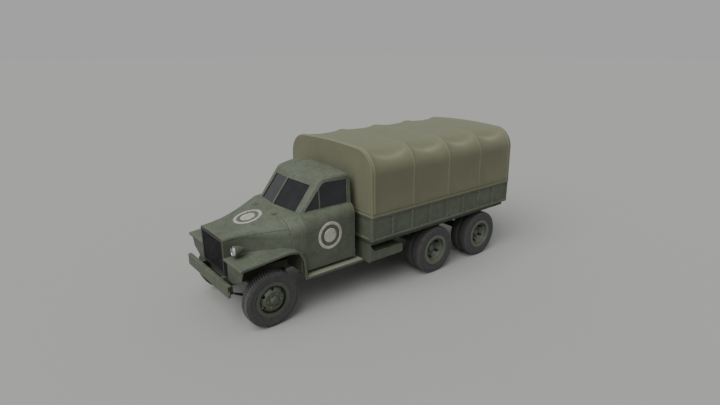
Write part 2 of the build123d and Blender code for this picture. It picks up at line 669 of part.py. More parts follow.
def make_frame():
    """Two channel rails with their spring hangers and trunnions, and the cross members between."""
    in_y = RAIL_OUT_Y - RAIL_W
    channel = [
        (in_y, RAIL_BOTTOM_Z),
        (RAIL_OUT_Y, RAIL_BOTTOM_Z),
        (RAIL_OUT_Y, RAIL_TOP_Z),
        (in_y, RAIL_TOP_Z),
        (in_y, RAIL_TOP_Z - RAIL_T),
        (RAIL_OUT_Y - RAIL_T, RAIL_TOP_Z - RAIL_T),
        (RAIL_OUT_Y - RAIL_T, RAIL_BOTTOM_Z + RAIL_T),
        (in_y, RAIL_BOTTOM_Z + RAIL_T),
    ]
    left = [front_prism(channel, FRAME_REAR_X, FRAME_FRONT_X)]
    # Hangers of the front springs: two cheeks and a pin on each side of the axle.
    eye_z = front_eye_z()
    half = HANGER_W / 2
    top_z = RAIL_BOTTOM_Z + HANGER_FOOT_T
    spring_in_y, spring_out_y = SPRING_Y - SPRING_W / 2, SPRING_Y + SPRING_W / 2
    for x in (SPRING_HALF_SPAN, -SPRING_HALF_SPAN):
        for y in (spring_in_y - HANGER_T / 2 - 0.5, spring_out_y + HANGER_T / 2 + 0.5):
            cheek_in_y, cheek_out_y = y - HANGER_T / 2, y + HANGER_T / 2
            left.append(box(x - half, x + half, cheek_in_y, cheek_out_y, eye_z - half, top_z))
        start = (x, spring_in_y - 6, eye_z)
        left.append(rod(start, (x, spring_out_y + 6, eye_z), SPRING_PIN_R))
        left.append(box(x - half, x + half, in_y, spring_out_y + HANGER_T, RAIL_BOTTOM_Z, top_z))
    # Bogie bracket, from the rail down to the trunnion.
    bracket = [
        (-WHEELBASE - 160, RAIL_BOTTOM_Z + 60),
        (-WHEELBASE + 160, RAIL_BOTTOM_Z + 60),
        (-WHEELBASE + 60, TRUNNION_Z - 40),
        (-WHEELBASE - 60, TRUNNION_Z - 40),
    ]
    web_y = RAIL_OUT_Y - RAIL_T
    left.append(side_prism(bracket, web_y, RAIL_OUT_Y + 20))
    trunnion_end = BOGIE_SPRING_Y + BOGIE_SPRING_W / 2 + 30
    start = (-WHEELBASE, web_y, TRUNNION_Z)
    left.append(rod(start, (-WHEELBASE, trunnion_end, TRUNNION_Z), TRUNNION_R))
    save("frame", pair(fused(left)))
    members = []
    low_z, high_z = RAIL_BOTTOM_Z + RAIL_T, RAIL_TOP_Z - RAIL_T
    for x in CROSS_MEMBERS:
        members.append(box(x - CROSS_W / 2, x + CROSS_W / 2, -web_y, web_y, low_z, high_z))
    # The rear one carries the jaw for a trailer's tow bar.
    jaw_z = (RAIL_BOTTOM_Z + RAIL_TOP_Z) / 2
    jaw_x = FRAME_REAR_X - 70
    rear = [box(FRAME_REAR_X, FRAME_REAR_X + CROSS_W, -web_y, web_y, low_z, high_z)]
    for z in (jaw_z + TOW_JAW_HALF_H, jaw_z - TOW_JAW_HALF_H - TOW_PLATE_T):
        rear.append(box(jaw_x, FRAME_REAR_X + 2, -45, 45, z, z + TOW_PLATE_T))
        rear.append(Pos(jaw_x, 0, z + TOW_PLATE_T / 2) * Cylinder(45, TOW_PLATE_T))
    members.append(fused(rear) - Pos(jaw_x, 0, jaw_z) * Cylinder(TOW_PIN_R, 300))
    save("cross_members", Compound(children=members))


def make_bumper():
    """Straight channel across the frame's front ends, open at the back."""
    front = FRONT_OVERHANG
    outline = [
        (front - 59, BUMPER_BOTTOM_Z),
        (front, BUMPER_BOTTOM_Z),
        (front, BUMPER_TOP_Z),
        (front - 59, BUMPER_TOP_Z),
        (front - 59, BUMPER_TOP_Z - BUMPER_T),
        (front - BUMPER_T, BUMPER_TOP_Z - BUMPER_T),
        (front - BUMPER_T, BUMPER_BOTTOM_Z + BUMPER_T),
        (front - 59, BUMPER_BOTTOM_Z + BUMPER_T),
    ]
    bumper = side_prism(outline, -BUMPER_HALF_W, BUMPER_HALF_W)
    seats = []
    for side in (1, -1):
        y = side * (RAIL_OUT_Y - RAIL_W / 2)
        seats.append(box(FRAME_FRONT_X, front - 2, y - 34, y + 34, RAIL_BOTTOM_Z + 12, RAIL_TOP_Z - 8))
    save("front_bumper", fused([bumper, *seats]))


# ---------------------------------------------------------------- hood, cowl and cab form

# Sections of the hood and cowl. Columns: station x; half width and height of the side's foot;
# half width and height where the shoulder starts; its middle; where it ends; crown height.
HOOD_SECTIONS = [
    # x, foot_y, foot_z, low_y, low_z, mid_y, mid_z, top_y, top_z, crown_z
    (GRILLE_X, 420, 1085, 420, 1365, 404, 1410, 362, 1427, 1432),
    (0, 598, 1085, 552, 1345, 515, 1450, 420, 1500, 1514),
    (HOOD_REAR_X, 862, 1085, 822, 1320, 745, 1500, 560, 1590, 1612),
    (DOOR_FRONT_X, 918, 1085, 918, 1400, 860, 1545, 680, 1630, 1658),
]
# The same columns at the cab's rear, where the shoulder runs up to the side glass.
CAB_REAR_SECTION = (CAB_REAR_X, 918, 1085, 918, 1490, 892, 1600, 812, 1680, 1700)


def section_face(row, inset, foot_z):
    """Closed section across the truck, drawn inside the sheet by inset."""
    x, foot_y, _, low_y, low_z, mid_y, mid_z, top_y, top_z, crown_z = row
    slant = 0.7071
    foot = (foot_y - inset, foot_z)
    low = (low_y - inset, low_z)
    mid = (mid_y - inset * slant, mid_z - inset * slant)
    top = (top_y - inset / 2, top_z - inset)
    crown = crown_z - inset

    def at(y, z):
        return (x, y, z)

    edges = [
        Line(at(-foot[0], foot[1]), at(foot[0], foot[1])),
        Line(at(*foot), at(*low)),
        ThreePointArc(at(*low), at(*mid), at(*top)),
        ThreePointArc(at(*top), at(0, crown), at(-top[0], top[1])),
        ThreePointArc(at(-top[0], top[1]), at(-mid[0], mid[1]), at(-low[0], low[1])),
        Line(at(-low[0], low[1]), at(-foot[0], foot[1])),
    ]
    return make_face(edges)


def hood_form(inset):
    """Solid form of hood and cowl, from the grille to the doors."""
    return loft([section_face(row, inset, HOOD_SIDE_BOTTOM_Z) for row in HOOD_SECTIONS])


def cab_lower_form(inset, foot_z):
    """Solid form of the cab below the glass, from the doors' front seam to the back wall."""
    rows = [HOOD_SECTIONS[-1], CAB_REAR_SECTION]
    return loft([section_face(row, inset, foot_z) for row in rows], ruled=True)


def screen_x(y, z, inset):
    """Station of the windscreen's plane, moved back by inset across its thickness."""
    slant = math.sqrt(1 + SCREEN_RAKE**2 + SCREEN_SWEEP**2)
    return SCREEN_X + SCREEN_RAKE * (z - SILL_Z) + SCREEN_SWEEP * abs(y) - inset * slant


def side_y(x, z, inset):
    """Half width of the cab's side glass plane, moved in by inset."""
    slant = math.sqrt(1 + SIDE_TAPER**2 + SIDE_TUMBLE**2)
    return SIDE_REAR_Y + SIDE_TAPER * (x - CAB_REAR_X) + SIDE_TUMBLE * (z - SILL_Z) - inset * slant


def pillar(z, inset):
    """Corner where the windscreen's plane meets the side plane, as x and half width."""
    y_at_screen_0 = side_y(screen_x(0, z, inset), z, inset)
    y = y_at_screen_0 / (1 - SIDE_TAPER * SCREEN_SWEEP)
    return screen_x(y, z, inset), y


def roof_dome(inset):
    """Everything under the roof: an arc across the truck, turned about a line far below it."""
    low = ROOF_EDGE_Z - inset
    foot = SILL_Z - 400
    x, y = ROOF_TOP_X, ROOF_EDGE_Y
    edges = [
        ThreePointArc((x, -y, low), (x, 0, ROOF_CROWN_Z - inset), (x, y, low)),
        Line((x, y, low), (x, y, foot)),
        Line((x, y, foot), (x, -y, foot)),
        Line((x, -y, foot), (x, -y, low)),
    ]
    axis = Axis((x, 0, ROOF_CROWN_Z - inset - ROOF_FALL_R), (0, 1, 0))
    return revolve(make_face(edges).rotate(axis, -60), axis, revolution_arc=120)


def greenhouse_form(inset, rounded):
    """Solid form of the cab from the sill up: two screen planes, two side planes and a roof."""
    levels = (SILL_Z - 120, ROOF_CROWN_Z + 60)
    rear_x = CAB_REAR_X + inset
    rings = []
    for z in levels:
        corner_x, corner_y = pillar(z, inset)
        rear_y = side_y(rear_x, z, inset)
        points = [
            (screen_x(0, z, inset), 0, z),
            (corner_x, corner_y, z),
            (rear_x, rear_y, z),
            (rear_x, -rear_y, z),
            (corner_x, -corner_y, z),
        ]
        rings.append(make_face(Polyline(*points, close=True)))
    form = loft(rings, ruled=True)
    form = form & roof_dome(inset)
    if not rounded:
        return form
    soft = [edge for edge in form.edges() if is_roof_edge(edge) or is_pillar_edge(edge)]
    return fillet(soft, ROOF_ROUND_R)


def is_roof_edge(edge):
    """True for an edge round the roof."""
    return edge.bounding_box().min.Z > DOOR_TOP_Z - 60


def is_pillar_edge(edge):
    """True for the long edge where windscreen and side planes meet."""
    size = edge.bounding_box().size
    return size.Z > 300 and size.X > 300 and size.Y > 10


def cab_outside():
    """Outer form of the cab: cowl, its foot, the part below the glass, and the glass house."""
    cowl = hood_form(0) & box(DOOR_FRONT_X, HOOD_REAR_X - MOVING_GAP, -FAR, FAR, 0, FAR)
    foot = box(DOOR_FRONT_X, FIREWALL_X, -CAB_HALF_W, CAB_HALF_W, CAB_BOTTOM_Z, HOOD_SIDE_BOTTOM_Z)
    lower = cab_lower_form(0, CAB_BOTTOM_Z)
    return fused([lower, cowl, foot, greenhouse_form(0, True)])


def cab_inside():
    """The cab's hollow, open below to take the floor."""
    firewall_in = FIREWALL_X - WALL_T
    rear_in = CAB_REAR_X + WALL_T
    in_y = CAB_HALF_W - WALL_T
    cowl = hood_form(WALL_T) & box(DOOR_FRONT_X, firewall_in, -FAR, FAR, 0, FAR)
    foot = box(DOOR_FRONT_X, firewall_in, -in_y, in_y, 0, HOOD_SIDE_BOTTOM_Z)
    lower = cab_lower_form(WALL_T, CAB_BOTTOM_Z - 40) & box(rear_in, FAR, -FAR, FAR, 0, FAR)
    house = greenhouse_form(WALL_T, False) & box(-FAR, firewall_in, -FAR, FAR, 0, FAR)
    engine_side = hood_form(SHEET_T) & box(FIREWALL_X, FAR, -FAR, FAR, 0, FAR)
    return [lower, cowl, foot, house, engine_side]


def front_top_corner(prism):
    """The edge across a door tool where its raked front meets its top."""
    edges = prism.edges().filter_by(Axis.Y)
    return edges.sort_by(Axis.Z)[-2:].sort_by(Axis.X)[-1]


def door_zone(grow, side):
    """Space that a door fills, or with grow its opening. Its rear edge is an arc about the hinge."""
    front = DOOR_FRONT_X - MOVING_GAP + grow
    top = DOOR_TOP_Z + grow
    sill = SILL_Z + 25
    pillar_lag = 14.0
    outline = [
        (front, CAB_BOTTOM_Z - 60),
        (front, SILL_Z - 15),
        (pillar(sill, 0)[0] - pillar_lag + grow, sill),
        (pillar(top, 0)[0] - pillar_lag + grow, top),
        (CAB_REAR_X - 60, top),
        (CAB_REAR_X - 60, CAB_BOTTOM_Z - 60),
    ]
    zone = side_prism(outline, 600, 1100)
    zone = fillet(front_top_corner(zone), DOOR_CORNER_R + grow)
    reach = DOOR_FRONT_X - DOOR_REAR_X + grow
    swing = Pos(DOOR_FRONT_X, DOOR_HINGE_Y, SILL_Z) * Cylinder(reach, 2 * SILL_Z)
    zone = zone & swing
    return zone if side > 0 else other_side(zone)


def side_glass_prism(shrink):
    """Tool that cuts the left side glass, with its small front quarter."""
    low_z = 1652 + shrink
    top_z = SIDE_GLASS_TOP_Z - shrink
    lag = 46 + 1.6 * shrink
    outline = [
        (pillar(low_z, 0)[0] - lag, low_z),
        (-1562 + shrink, 1690 + shrink),
        (-1566 + shrink, top_z),
        (pillar(top_z, 0)[0] - lag - 12, top_z),
    ]
    prism = side_prism(outline, 560, 1100)
    return fillet(front_top_corner(prism), SIDE_GLASS_CORNER_R - shrink)


def vent_bar(grow=0.0):
    """Post between the quarter glass and the main side glass, as a tool across the door."""
    half = VENT_POST_HALF + grow
    return box(VENT_POST_X - half, VENT_POST_X + half, 560, 1100, 1600, 2110)


def screen_prism(shrink, side):
    """Tool that cuts one half of the windscreen."""
    outline = [
        (SCREEN_BAR_HALF + shrink, 1664 + shrink),
        (548 - shrink, 1636 + shrink),
        (541 - shrink, 2032 - shrink),
        (SCREEN_BAR_HALF + shrink, 2066 - shrink),
    ]
    prism = front_prism(outline, -1180, -480)
    return prism if side > 0 else other_side(prism)


def rear_window_prism(shrink):
    """Tool that cuts the window of the back wall."""
    half_w = 330 - shrink
    tool = box(CAB_REAR_X - 20, CAB_REAR_X + 80, -half_w, half_w, 1720 + shrink, 1960 - shrink)
    return fillet(tool.edges().filter_by(Axis.X), 40)


def glass_sheet():
    """Thin sheet that follows the screen and side planes, inside their surface."""
    return greenhouse_form(GLASS_INSET, False) - greenhouse_form(GLASS_INSET + GLASS_T, False)


def hood_hinge_pins():
    """Pins on which the hood turns, each between two cheeks on the cowl's front edge."""
    pieces = []
    for y in HOOD_HINGES:
        half = HOOD_KNUCKLE_HALF_W + 8
        start = (HOOD_HINGE_X, y - half, HOOD_HINGE_Z)
        pieces.append(rod(start, (HOOD_HINGE_X, y + half, HOOD_HINGE_Z), HOOD_PIN_R))
        for end in (-1, 1):
            cheek_y = y + end * (HOOD_KNUCKLE_HALF_W + 6)
            foot_z, eye_z, top_z = HOOD_HINGE_Z - 26, HOOD_HINGE_Z - 6, HOOD_HINGE_Z + HOOD_KNUCKLE_R
            seam_x = HOOD_REAR_X - MOVING_GAP - 1
            pieces.append(box(seam_x - 30, seam_x, cheek_y - 5, cheek_y + 5, foot_z, top_z))
            pieces.append(box(seam_x - 1, HOOD_HINGE_X + 6, cheek_y - 5, cheek_y + 5, eye_z, top_z))
    return pieces


def make_cab():
    shell = cab_outside()
    for hollow in cab_inside():
        shell = shell - hollow
    for side in (1, -1):
        shell = shell - screen_prism(0, side)
    shell = shell - rear_window_prism(0)
    # Between the rails and above them the walls end at the floor, over the frame and gearbox.
    shell = shell - box(-FAR, FAR, -RAIL_OUT_Y - 50, RAIL_OUT_Y + 50, 0, CAB_FLOOR_Z - FLOOR_T)
    door = shell & door_zone(0, 1)
    door = door - side_glass_prism(0)
    door = door + (shell & door_zone(0, 1) & vent_bar())
    split_z = DOOR_TOP_Z + MOVING_GAP
    roof = shell & box(-FAR, FAR, -FAR, FAR, split_z, FAR)
    below = shell & box(-FAR, FAR, -FAR, FAR, 0, split_z)
    for side in (1, -1):
        below = below - door_zone(MOVING_GAP + 1, side)
    middle_x = (VENT_POST_X + DOOR_REAR_X) / 2  # behind the doors' rounded corners
    front = below & box(middle_x, FAR, -FAR, FAR, 0, FAR)
    back = below & box(-FAR, middle_x, -FAR, FAR, 0, FAR)
    save("cab_roof", roof)
    save("cab_back", back)
    save("cab_cowl", fused([front, *hood_hinge_pins()]))
    # Dashboard, across the cab behind the firewall.
    dash = box(FIREWALL_X - WALL_T - 110, FIREWALL_X - WALL_T, -700, 700, 1400, 1560)
    dash = fillet(dash.edges().filter_by(Axis.Y).sort_by(Axis.X)[:2], 30)
    dash = dash & hood_form(WALL_T)
    save("dashboard", dash)
    save("door_left", door)
    save("door_right", other_side(door))
    sheet = glass_sheet()
    pane = (sheet & side_glass_prism(SEAT_GAP)) - vent_bar(SEAT_GAP)
    save("door_glass_left", Compound(children=pane.solids()))
    save("door_glass_right", Compound(children=other_side(pane).solids()))
    panes = []
    for side in (1, -1):
        panes += (sheet & screen_prism(SEAT_GAP, side)).solids()
    back_sheet = box(CAB_REAR_X + GLASS_INSET, CAB_REAR_X + GLASS_INSET + GLASS_T, -FAR, FAR, 0, FAR)
    panes += (back_sheet & rear_window_prism(SEAT_GAP)).solids()
    save("cab_glass", Compound(children=panes))


def make_cab_floor():
    """Floor plate on its frame pads, with the box that carries the seat."""
    in_y = CAB_HALF_W - WALL_T
    x0 = CAB_REAR_X + WALL_T
    x1 = FIREWALL_X - WALL_T
    plate = box(x0, x1, -in_y, in_y, CAB_FLOOR_Z - FLOOR_T, CAB_FLOOR_Z)
    pads = []
    for x in (-760, -1480):
        for side in (1, -1):
            y = side * (RAIL_OUT_Y - RAIL_W / 2)
            pads.append(box(x - 50, x + 50, y - 35, y + 35, RAIL_TOP_Z, CAB_FLOOR_Z - FLOOR_T + 6))
    seat_box = box(SEAT_REAR_X, SEAT_FRONT_X - 40, -600, 600, CAB_FLOOR_Z - 5, SEAT_BOTTOM_Z)
    seat_box = seat_box - box(SEAT_REAR_X + 20, SEAT_FRONT_X - 60, -580, 580, CAB_FLOOR_Z, SEAT_BOTTOM_Z - 20)
    save("cab_floor", fused([plate, *pads, seat_box]))
    seat_z = SEAT_BOTTOM_Z + SEAT_GAP
    back_x = SEAT_REAR_X + SEAT_BACK_T
    cushion = box(back_x + 2, SEAT_FRONT_X, -SEAT_HALF_W, SEAT_HALF_W, seat_z, SEAT_TOP_Z)
    save("seat_cushion", fillet(cushion.edges(), SEAT_ROUND_R))
    back = [
        (SEAT_REAR_X, seat_z),
        (back_x, seat_z),
        (back_x, SEAT_TOP_Z),
        (SEAT_REAR_X + SEAT_BACK_TOP_T, SEAT_BACK_TOP_Z),
        (SEAT_REAR_X, SEAT_BACK_TOP_Z),
    ]
    seat_back = side_prism(back, -SEAT_HALF_W, SEAT_HALF_W)
    save("seat_back", fillet(seat_back.edges().filter_by(Axis.Y), SEAT_ROUND_R / 2))


def make_steering_wheel():
    """Rim, three spokes and hub on a column that comes up from the firewall."""
    tilt = math.radians(STEERING_TILT)
    axis = Vector(-math.sin(tilt), 0, math.cos(tilt))
    centre = Vector(STEERING_X, STEERING_Y, STEERING_Z)
    plane = Plane(origin=centre, x_dir=(0, 1, 0), z_dir=axis)
    rim_section = Plane(origin=(STEERING_R, 0, 0), z_dir=(0, 1, 0)) * RegularPolygon(STEERING_RIM_R, 8)
    rim = plane * revolve(rim_section, Axis.Z)
    spokes = []
    for number in range(3):
        angle = math.radians(90 + number * 120)
        out = plane.from_local_coords((STEERING_R * math.cos(angle), STEERING_R * math.sin(angle), 0))
        spokes.append(rod(centre - axis * 12, out, 7))
    boss = rod(centre - axis * 50, centre + axis * 14, 38)
    length = (FIREWALL_X - WALL_T - STEERING_X) / math.sin(tilt)
    column = rod(centre - axis * 20, centre - axis * (length + 60), 19)
    wheel = fused([rim, *spokes, boss, column])
    save("steering_wheel", wheel & box(-FAR, FIREWALL_X - WALL_T, -FAR, FAR, 0, FAR))


# ---------------------------------------------------------------- hood, grille, fenders


def hood_seam_tool(side_gap):
    """Space above the seam that runs along the hood's sides."""
    outline = [
        (GRILLE_X + 50, HOOD_SEAM_FRONT_Z + side_gap),
        (HOOD_REAR_X - 50, HOOD_SEAM_REAR_Z + side_gap),
        (HOOD_REAR_X - 50, 2000),
        (GRILLE_X + 50, 2000),
    ]
    return side_prism(outline, -FAR / 2, FAR / 2)


def make_hood():
    shell = hood_form(0) - hood_form(SHEET_T)
    shell = shell & box(HOOD_REAR_X, FAR, -FAR, FAR, HOOD_SIDE_BOTTOM_Z, FAR)
    hood = shell & hood_seam_tool(MOVING_GAP)
    straps = []
    for y in HOOD_HINGES:
        low_y, high_y = y - HOOD_KNUCKLE_HALF_W, y + HOOD_KNUCKLE_HALF_W
        start = (HOOD_HINGE_X, low_y, HOOD_HINGE_Z)
        straps.append(rod(start, (HOOD_HINGE_X, high_y, HOOD_HINGE_Z), HOOD_KNUCKLE_R))
        strap_end = HOOD_HINGE_X + HOOD_STRAP_L
        straps.append(box(HOOD_HINGE_X, strap_end, low_y, high_y, HOOD_HINGE_Z - 26, HOOD_HINGE_Z - 2))
    hood = fused([hood, *straps])
    for y in HOOD_HINGES:
        start = (HOOD_HINGE_X, y - 60, HOOD_HINGE_Z)
        hood = hood - rod(start, (HOOD_HINGE_X, y + 60, HOOD_HINGE_Z), HOOD_PIN_R + RUNNING_FIT)
    save("hood", hood)
    sides = shell - hood_seam_tool(0)
    # Below its foot the form is closed by a flat bottom, which the sides do without.
    sides = sides & box(-FAR, FAR, -FAR, FAR, HOOD_SIDE_BOTTOM_Z + 13, FAR)
    save("hood_sides", Compound(children=sides.solids()))


def make_grille():
    """Radiator with its frame and a guard of upright bars."""
    half_w = HOOD_HALF_W - SHEET_T - MOVING_GAP
    back = GRILLE_X - 90
    top = HOOD_SECTIONS[0][9] - SHEET_T - MOVING_GAP - 4
    core = box(back, GRILLE_X - 40, -half_w + 40, half_w - 40, GRILLE_BOTTOM_Z + 30, top - 40)
    frame = box(back + 10, GRILLE_X, -half_w, half_w, GRILLE_BOTTOM_Z, top)
    frame = fillet(frame.edges().filter_by(Axis.X).sort_by(Axis.Z)[2:], 50)
    frame = frame - box(back - 10, GRILLE_X + 10, -half_w + 36, half_w - 36, GRILLE_BOTTOM_Z + 34, top - 44)
    pieces = [frame, core]
    pitch = (2 * half_w - 72) / (GRILLE_BARS + 1)
    for number in range(GRILLE_BARS):
        y = -half_w + 36 + (number + 1) * pitch
        pieces.append(box(GRILLE_X - 30, GRILLE_X - 6, y - 5, y + 5, GRILLE_BOTTOM_Z + 20, top - 20))
    for z in (GRILLE_BOTTOM_Z + 200, top - 220):
        pieces.append(box(GRILLE_X - 42, GRILLE_X - 28, -half_w + 20, half_w - 20, z - 8, z + 8))
    feet = []
    for side in (1, -1):
        y = side * (RAIL_OUT_Y - RAIL_W / 2)
        feet.append(box(back + 12, GRILLE_X - 10, y - 34, y + 34, RAIL_TOP_Z, GRILLE_BOTTOM_Z + 10))
    save("radiator_grille", fused([*pieces, *feet]))


# Top line of a fender, seen from the side. Columns: station x, height, radius of the bend.
FENDER_TOP = [
    (523, 1118, 20),
    (-300, 1192, 380),
    (-500, 1160, 110),
    (-592, 960, 200),
    (-617, 640, 0),
]


def fender_block(inset, y0, y1):
    """Space under the fender's top line, drawn in by inset, between two y stations."""
    foot_z = 500.0
    points = [(FENDER_TOP[0][0], foot_z), *[row[:2] for row in FENDER_TOP], (FENDER_TOP[-1][0], foot_z)]
    radii = [0, *[row[2] for row in FENDER_TOP], 0]
    outline = FilletPolyline(*[(x, y0, z) for x, z in points], radius=radii, close=True)
    face = make_face(outline)
    if inset:
        face = offset(face, amount=-inset, kind=Kind.INTERSECTION)
    return extrude(face, amount=y1 - y0, dir=(0, 1, 0))


def make_fenders():
    """Left and right fender: top sheet, outer lip, inner apron in front of the wheel."""
    in_y = HOOD_HALF_W - 10
    sheet = fender_block(0, in_y, FENDER_OUT_Y) - fender_block(SHEET_T, in_y - 5, FENDER_OUT_Y + 5)
    lip_in = FENDER_OUT_Y - SHEET_T
    lip = fender_block(0, lip_in, FENDER_OUT_Y) - fender_block(FENDER_LIP, lip_in - 5, FENDER_OUT_Y + 5)
    low_z = FENDER_TOP[0][1] - FENDER_LIP
    under_front = box(0, FAR, -FAR, FAR, 0, low_z)
    below_board = box(-FAR, FAR, -FAR, FAR, 0, BOARD_TOP_Z - BOARD_DEPTH)
    apron_x = 470.0
    apron_in_y = RAIL_OUT_Y + 4
    apron = [
        (apron_in_y, low_z + 40),
        (FENDER_OUT_Y - SHEET_T, low_z + 40),
        (FENDER_OUT_Y - SHEET_T, low_z),
        (900, 894),
        (600, 747),
        (apron_in_y, 747),
    ]
    fender = (sheet + lip) - under_front - below_board
    fender = fender + front_prism(apron, apron_x, apron_x + SHEET_T)
    fender = fender - hood_form(-SEAT_GAP * 2) - lower_cab_clearance()
    fender = max(fender.solids(), key=lambda one: one.volume)
    save("fenders", pair(fender))


def lower_cab_clearance():
    """The cab's front lower corner, which the fender's rear fits round."""
    y = CAB_HALF_W + SEAT_GAP
    return box(CAB_REAR_X, FIREWALL_X + SEAT_GAP, -y, y, 0, HOOD_SIDE_BOTTOM_Z + 1)


def make_running_boards():
    """Pressed boards with a lip all round, one on each side, on brackets from the frame."""
    x0, x1 = BOARD_REAR_X, FENDER_TOP[-1][0] - 1
    low_z = BOARD_TOP_Z - BOARD_DEPTH
    board = box(x0, x1, BOARD_IN_Y, BOARD_OUT_Y, low_z, BOARD_TOP_Z)
    board = board - box(x0 + 8, x1 - 8, BOARD_IN_Y + 8, BOARD_OUT_Y - 8, low_z - 10, BOARD_TOP_Z - 9)
    for x in BOARD_BRACKETS:
        board = board + box(x - 25, x + 25, RAIL_OUT_Y, BOARD_IN_Y + 160, BOARD_TOP_Z - 36, BOARD_TOP_Z - 8)
    save("running_boards", pair(board))


def make_side_tanks():
    """Fuel tank on the left and its twin on the right, each behind an upright guard plate."""
    tank = box(TANK_REAR_X, TANK_FRONT_X - 8, TANK_IN_Y, TANK_OUT_Y, TANK_BOTTOM_Z, TANK_TOP_Z)
    tank = fillet(tank.edges().filter_by(Axis.Y), 48)
    guard = [
        (TANK_IN_Y, TANK_BOTTOM_Z - 17),
        (TANK_OUT_Y, TANK_BOTTOM_Z - 17),
        (TANK_OUT_Y, BODY_BOTTOM_Z - SUB_SILL_H - 10),
        (TANK_IN_Y, BODY_BOTTOM_Z - SUB_SILL_H - 10),
    ]
    plate = front_prism(guard, TANK_FRONT_X - 10, TANK_FRONT_X)
    gusset = [
        (TANK_FRONT_X - 5, BODY_BOTTOM_Z - SUB_SILL_H - 10),
        (TANK_FRONT_X - 120, TANK_TOP_Z - 10),
        (TANK_FRONT_X - 5, TANK_TOP_Z - 60),
    ]
    web = side_prism(gusset, TANK_OUT_Y - 8, TANK_OUT_Y)
    join_x = (TANK_FRONT_X - 60, TANK_FRONT_X - 8)
    join_y = (TANK_IN_Y + 40, TANK_OUT_Y - 40)
    join = box(*join_x, *join_y, TANK_BOTTOM_Z + 40, TANK_TOP_Z - 40)
    straps = []
    for x in (TANK_FRONT_X - 250, TANK_REAR_X + 200):
        strap = box(x - 20, x + 20, TANK_IN_Y - 3, TANK_OUT_Y + 3, TANK_BOTTOM_Z - 3, TANK_TOP_Z + 3)
        straps.append(strap)
        low_z = TANK_BOTTOM_Z + 30
        straps.append(box(x - 25, x + 25, RAIL_OUT_Y, TANK_IN_Y + 5, low_z, low_z + 60))
    save("side_tanks", pair(fused([tank, plate, web, join, *straps])))


def make_lamps():
    """Headlamps as bullet-shaped buckets on short stands, their lenses, and two tail lamps."""
    bucket = [
        (0, 0),
        (0, LAMP_R - 8),
        (4, LAMP_R),
        (-14, LAMP_R),
        (-60, LAMP_R - 7),
        (-120, LAMP_R - 28),
        (-170, LAMP_R - 56),
        (-LAMP_LENGTH, 0),
    ]
    body = turned_x(bucket, LAMP_X, LAMP_Y, LAMP_Z)
    stand_r = 22.0
    stand_x = LAMP_X - 60
    foot_z = fender_top_z(stand_x - stand_r) + SEAT_GAP
    stand = rod((stand_x, LAMP_Y, foot_z), (stand_x, LAMP_Y, LAMP_Z - 40), stand_r)
    lens = [(0.2, 0), (0.2, LAMP_R - 9), (10, LAMP_R - 22), (18, LAMP_R - 50), (21, 0)]
    save("headlamps", pair(fused([body, stand])))
    save("headlamp_lenses", pair(turned_x(lens, LAMP_X, LAMP_Y, LAMP_Z)))
    tail_x = BODY_REAR_X + TAILGATE_T + MOVING_GAP
    beam_z = BODY_BOTTOM_Z - BEAM_H
    tail_z = beam_z - TAIL_LAMP_R - 12
    lamp = rod((tail_x + 56, TAIL_LAMP_Y, tail_z), (tail_x + 8, TAIL_LAMP_Y, tail_z), TAIL_LAMP_R)
    bracket = box(tail_x + 22, tail_x + 42, TAIL_LAMP_Y - 20, TAIL_LAMP_Y + 20, tail_z, beam_z)
    save("tail_lamps", pair(fused([lamp, bracket])))


def fender_top_z(x):
    """Height of the fender's straight top line at a station."""
    (x0, z0, _), (x1, z1, _) = FENDER_TOP[:2]
    return z0 + (x - x0) * (z1 - z0) / (x1 - x0)


# ---------------------------------------------------------------- cargo body and tilt


def ribbed_panel(length_axis, start, stop, bays, inner, outward, z0, z1):
    """Steel panel with rails along top and bottom and upright ribs, pressed towards outward.

    It runs along X at half width inner, or along Y at station inner. Its ribs mark off the bays.
    """
    skin = (inner, inner + outward * SIDE_PANEL_T)
    rib = (inner, inner + outward * (SIDE_PANEL_T + RIB_DEPTH))

    def slab(a, b, depth, low, high):
        near, far = sorted(depth)
        if length_axis == "x":
            return box(a, b, near, far, low, high)
        return box(near, far, a, b, low, high)

    pieces = [
        slab(start, stop, skin, z0, z1),
        slab(start, stop, rib, z0, z0 + RAIL_H),
        slab(start, stop, rib, z1 - RAIL_H, z1),
    ]
    pitch = (stop - start - RIB_W) / bays
    for number in range(bays + 1):
        low_end = start + number * pitch
        pieces.append(slab(low_end, low_end + RIB_W, rib, z0, z1))
    return fused(pieces)


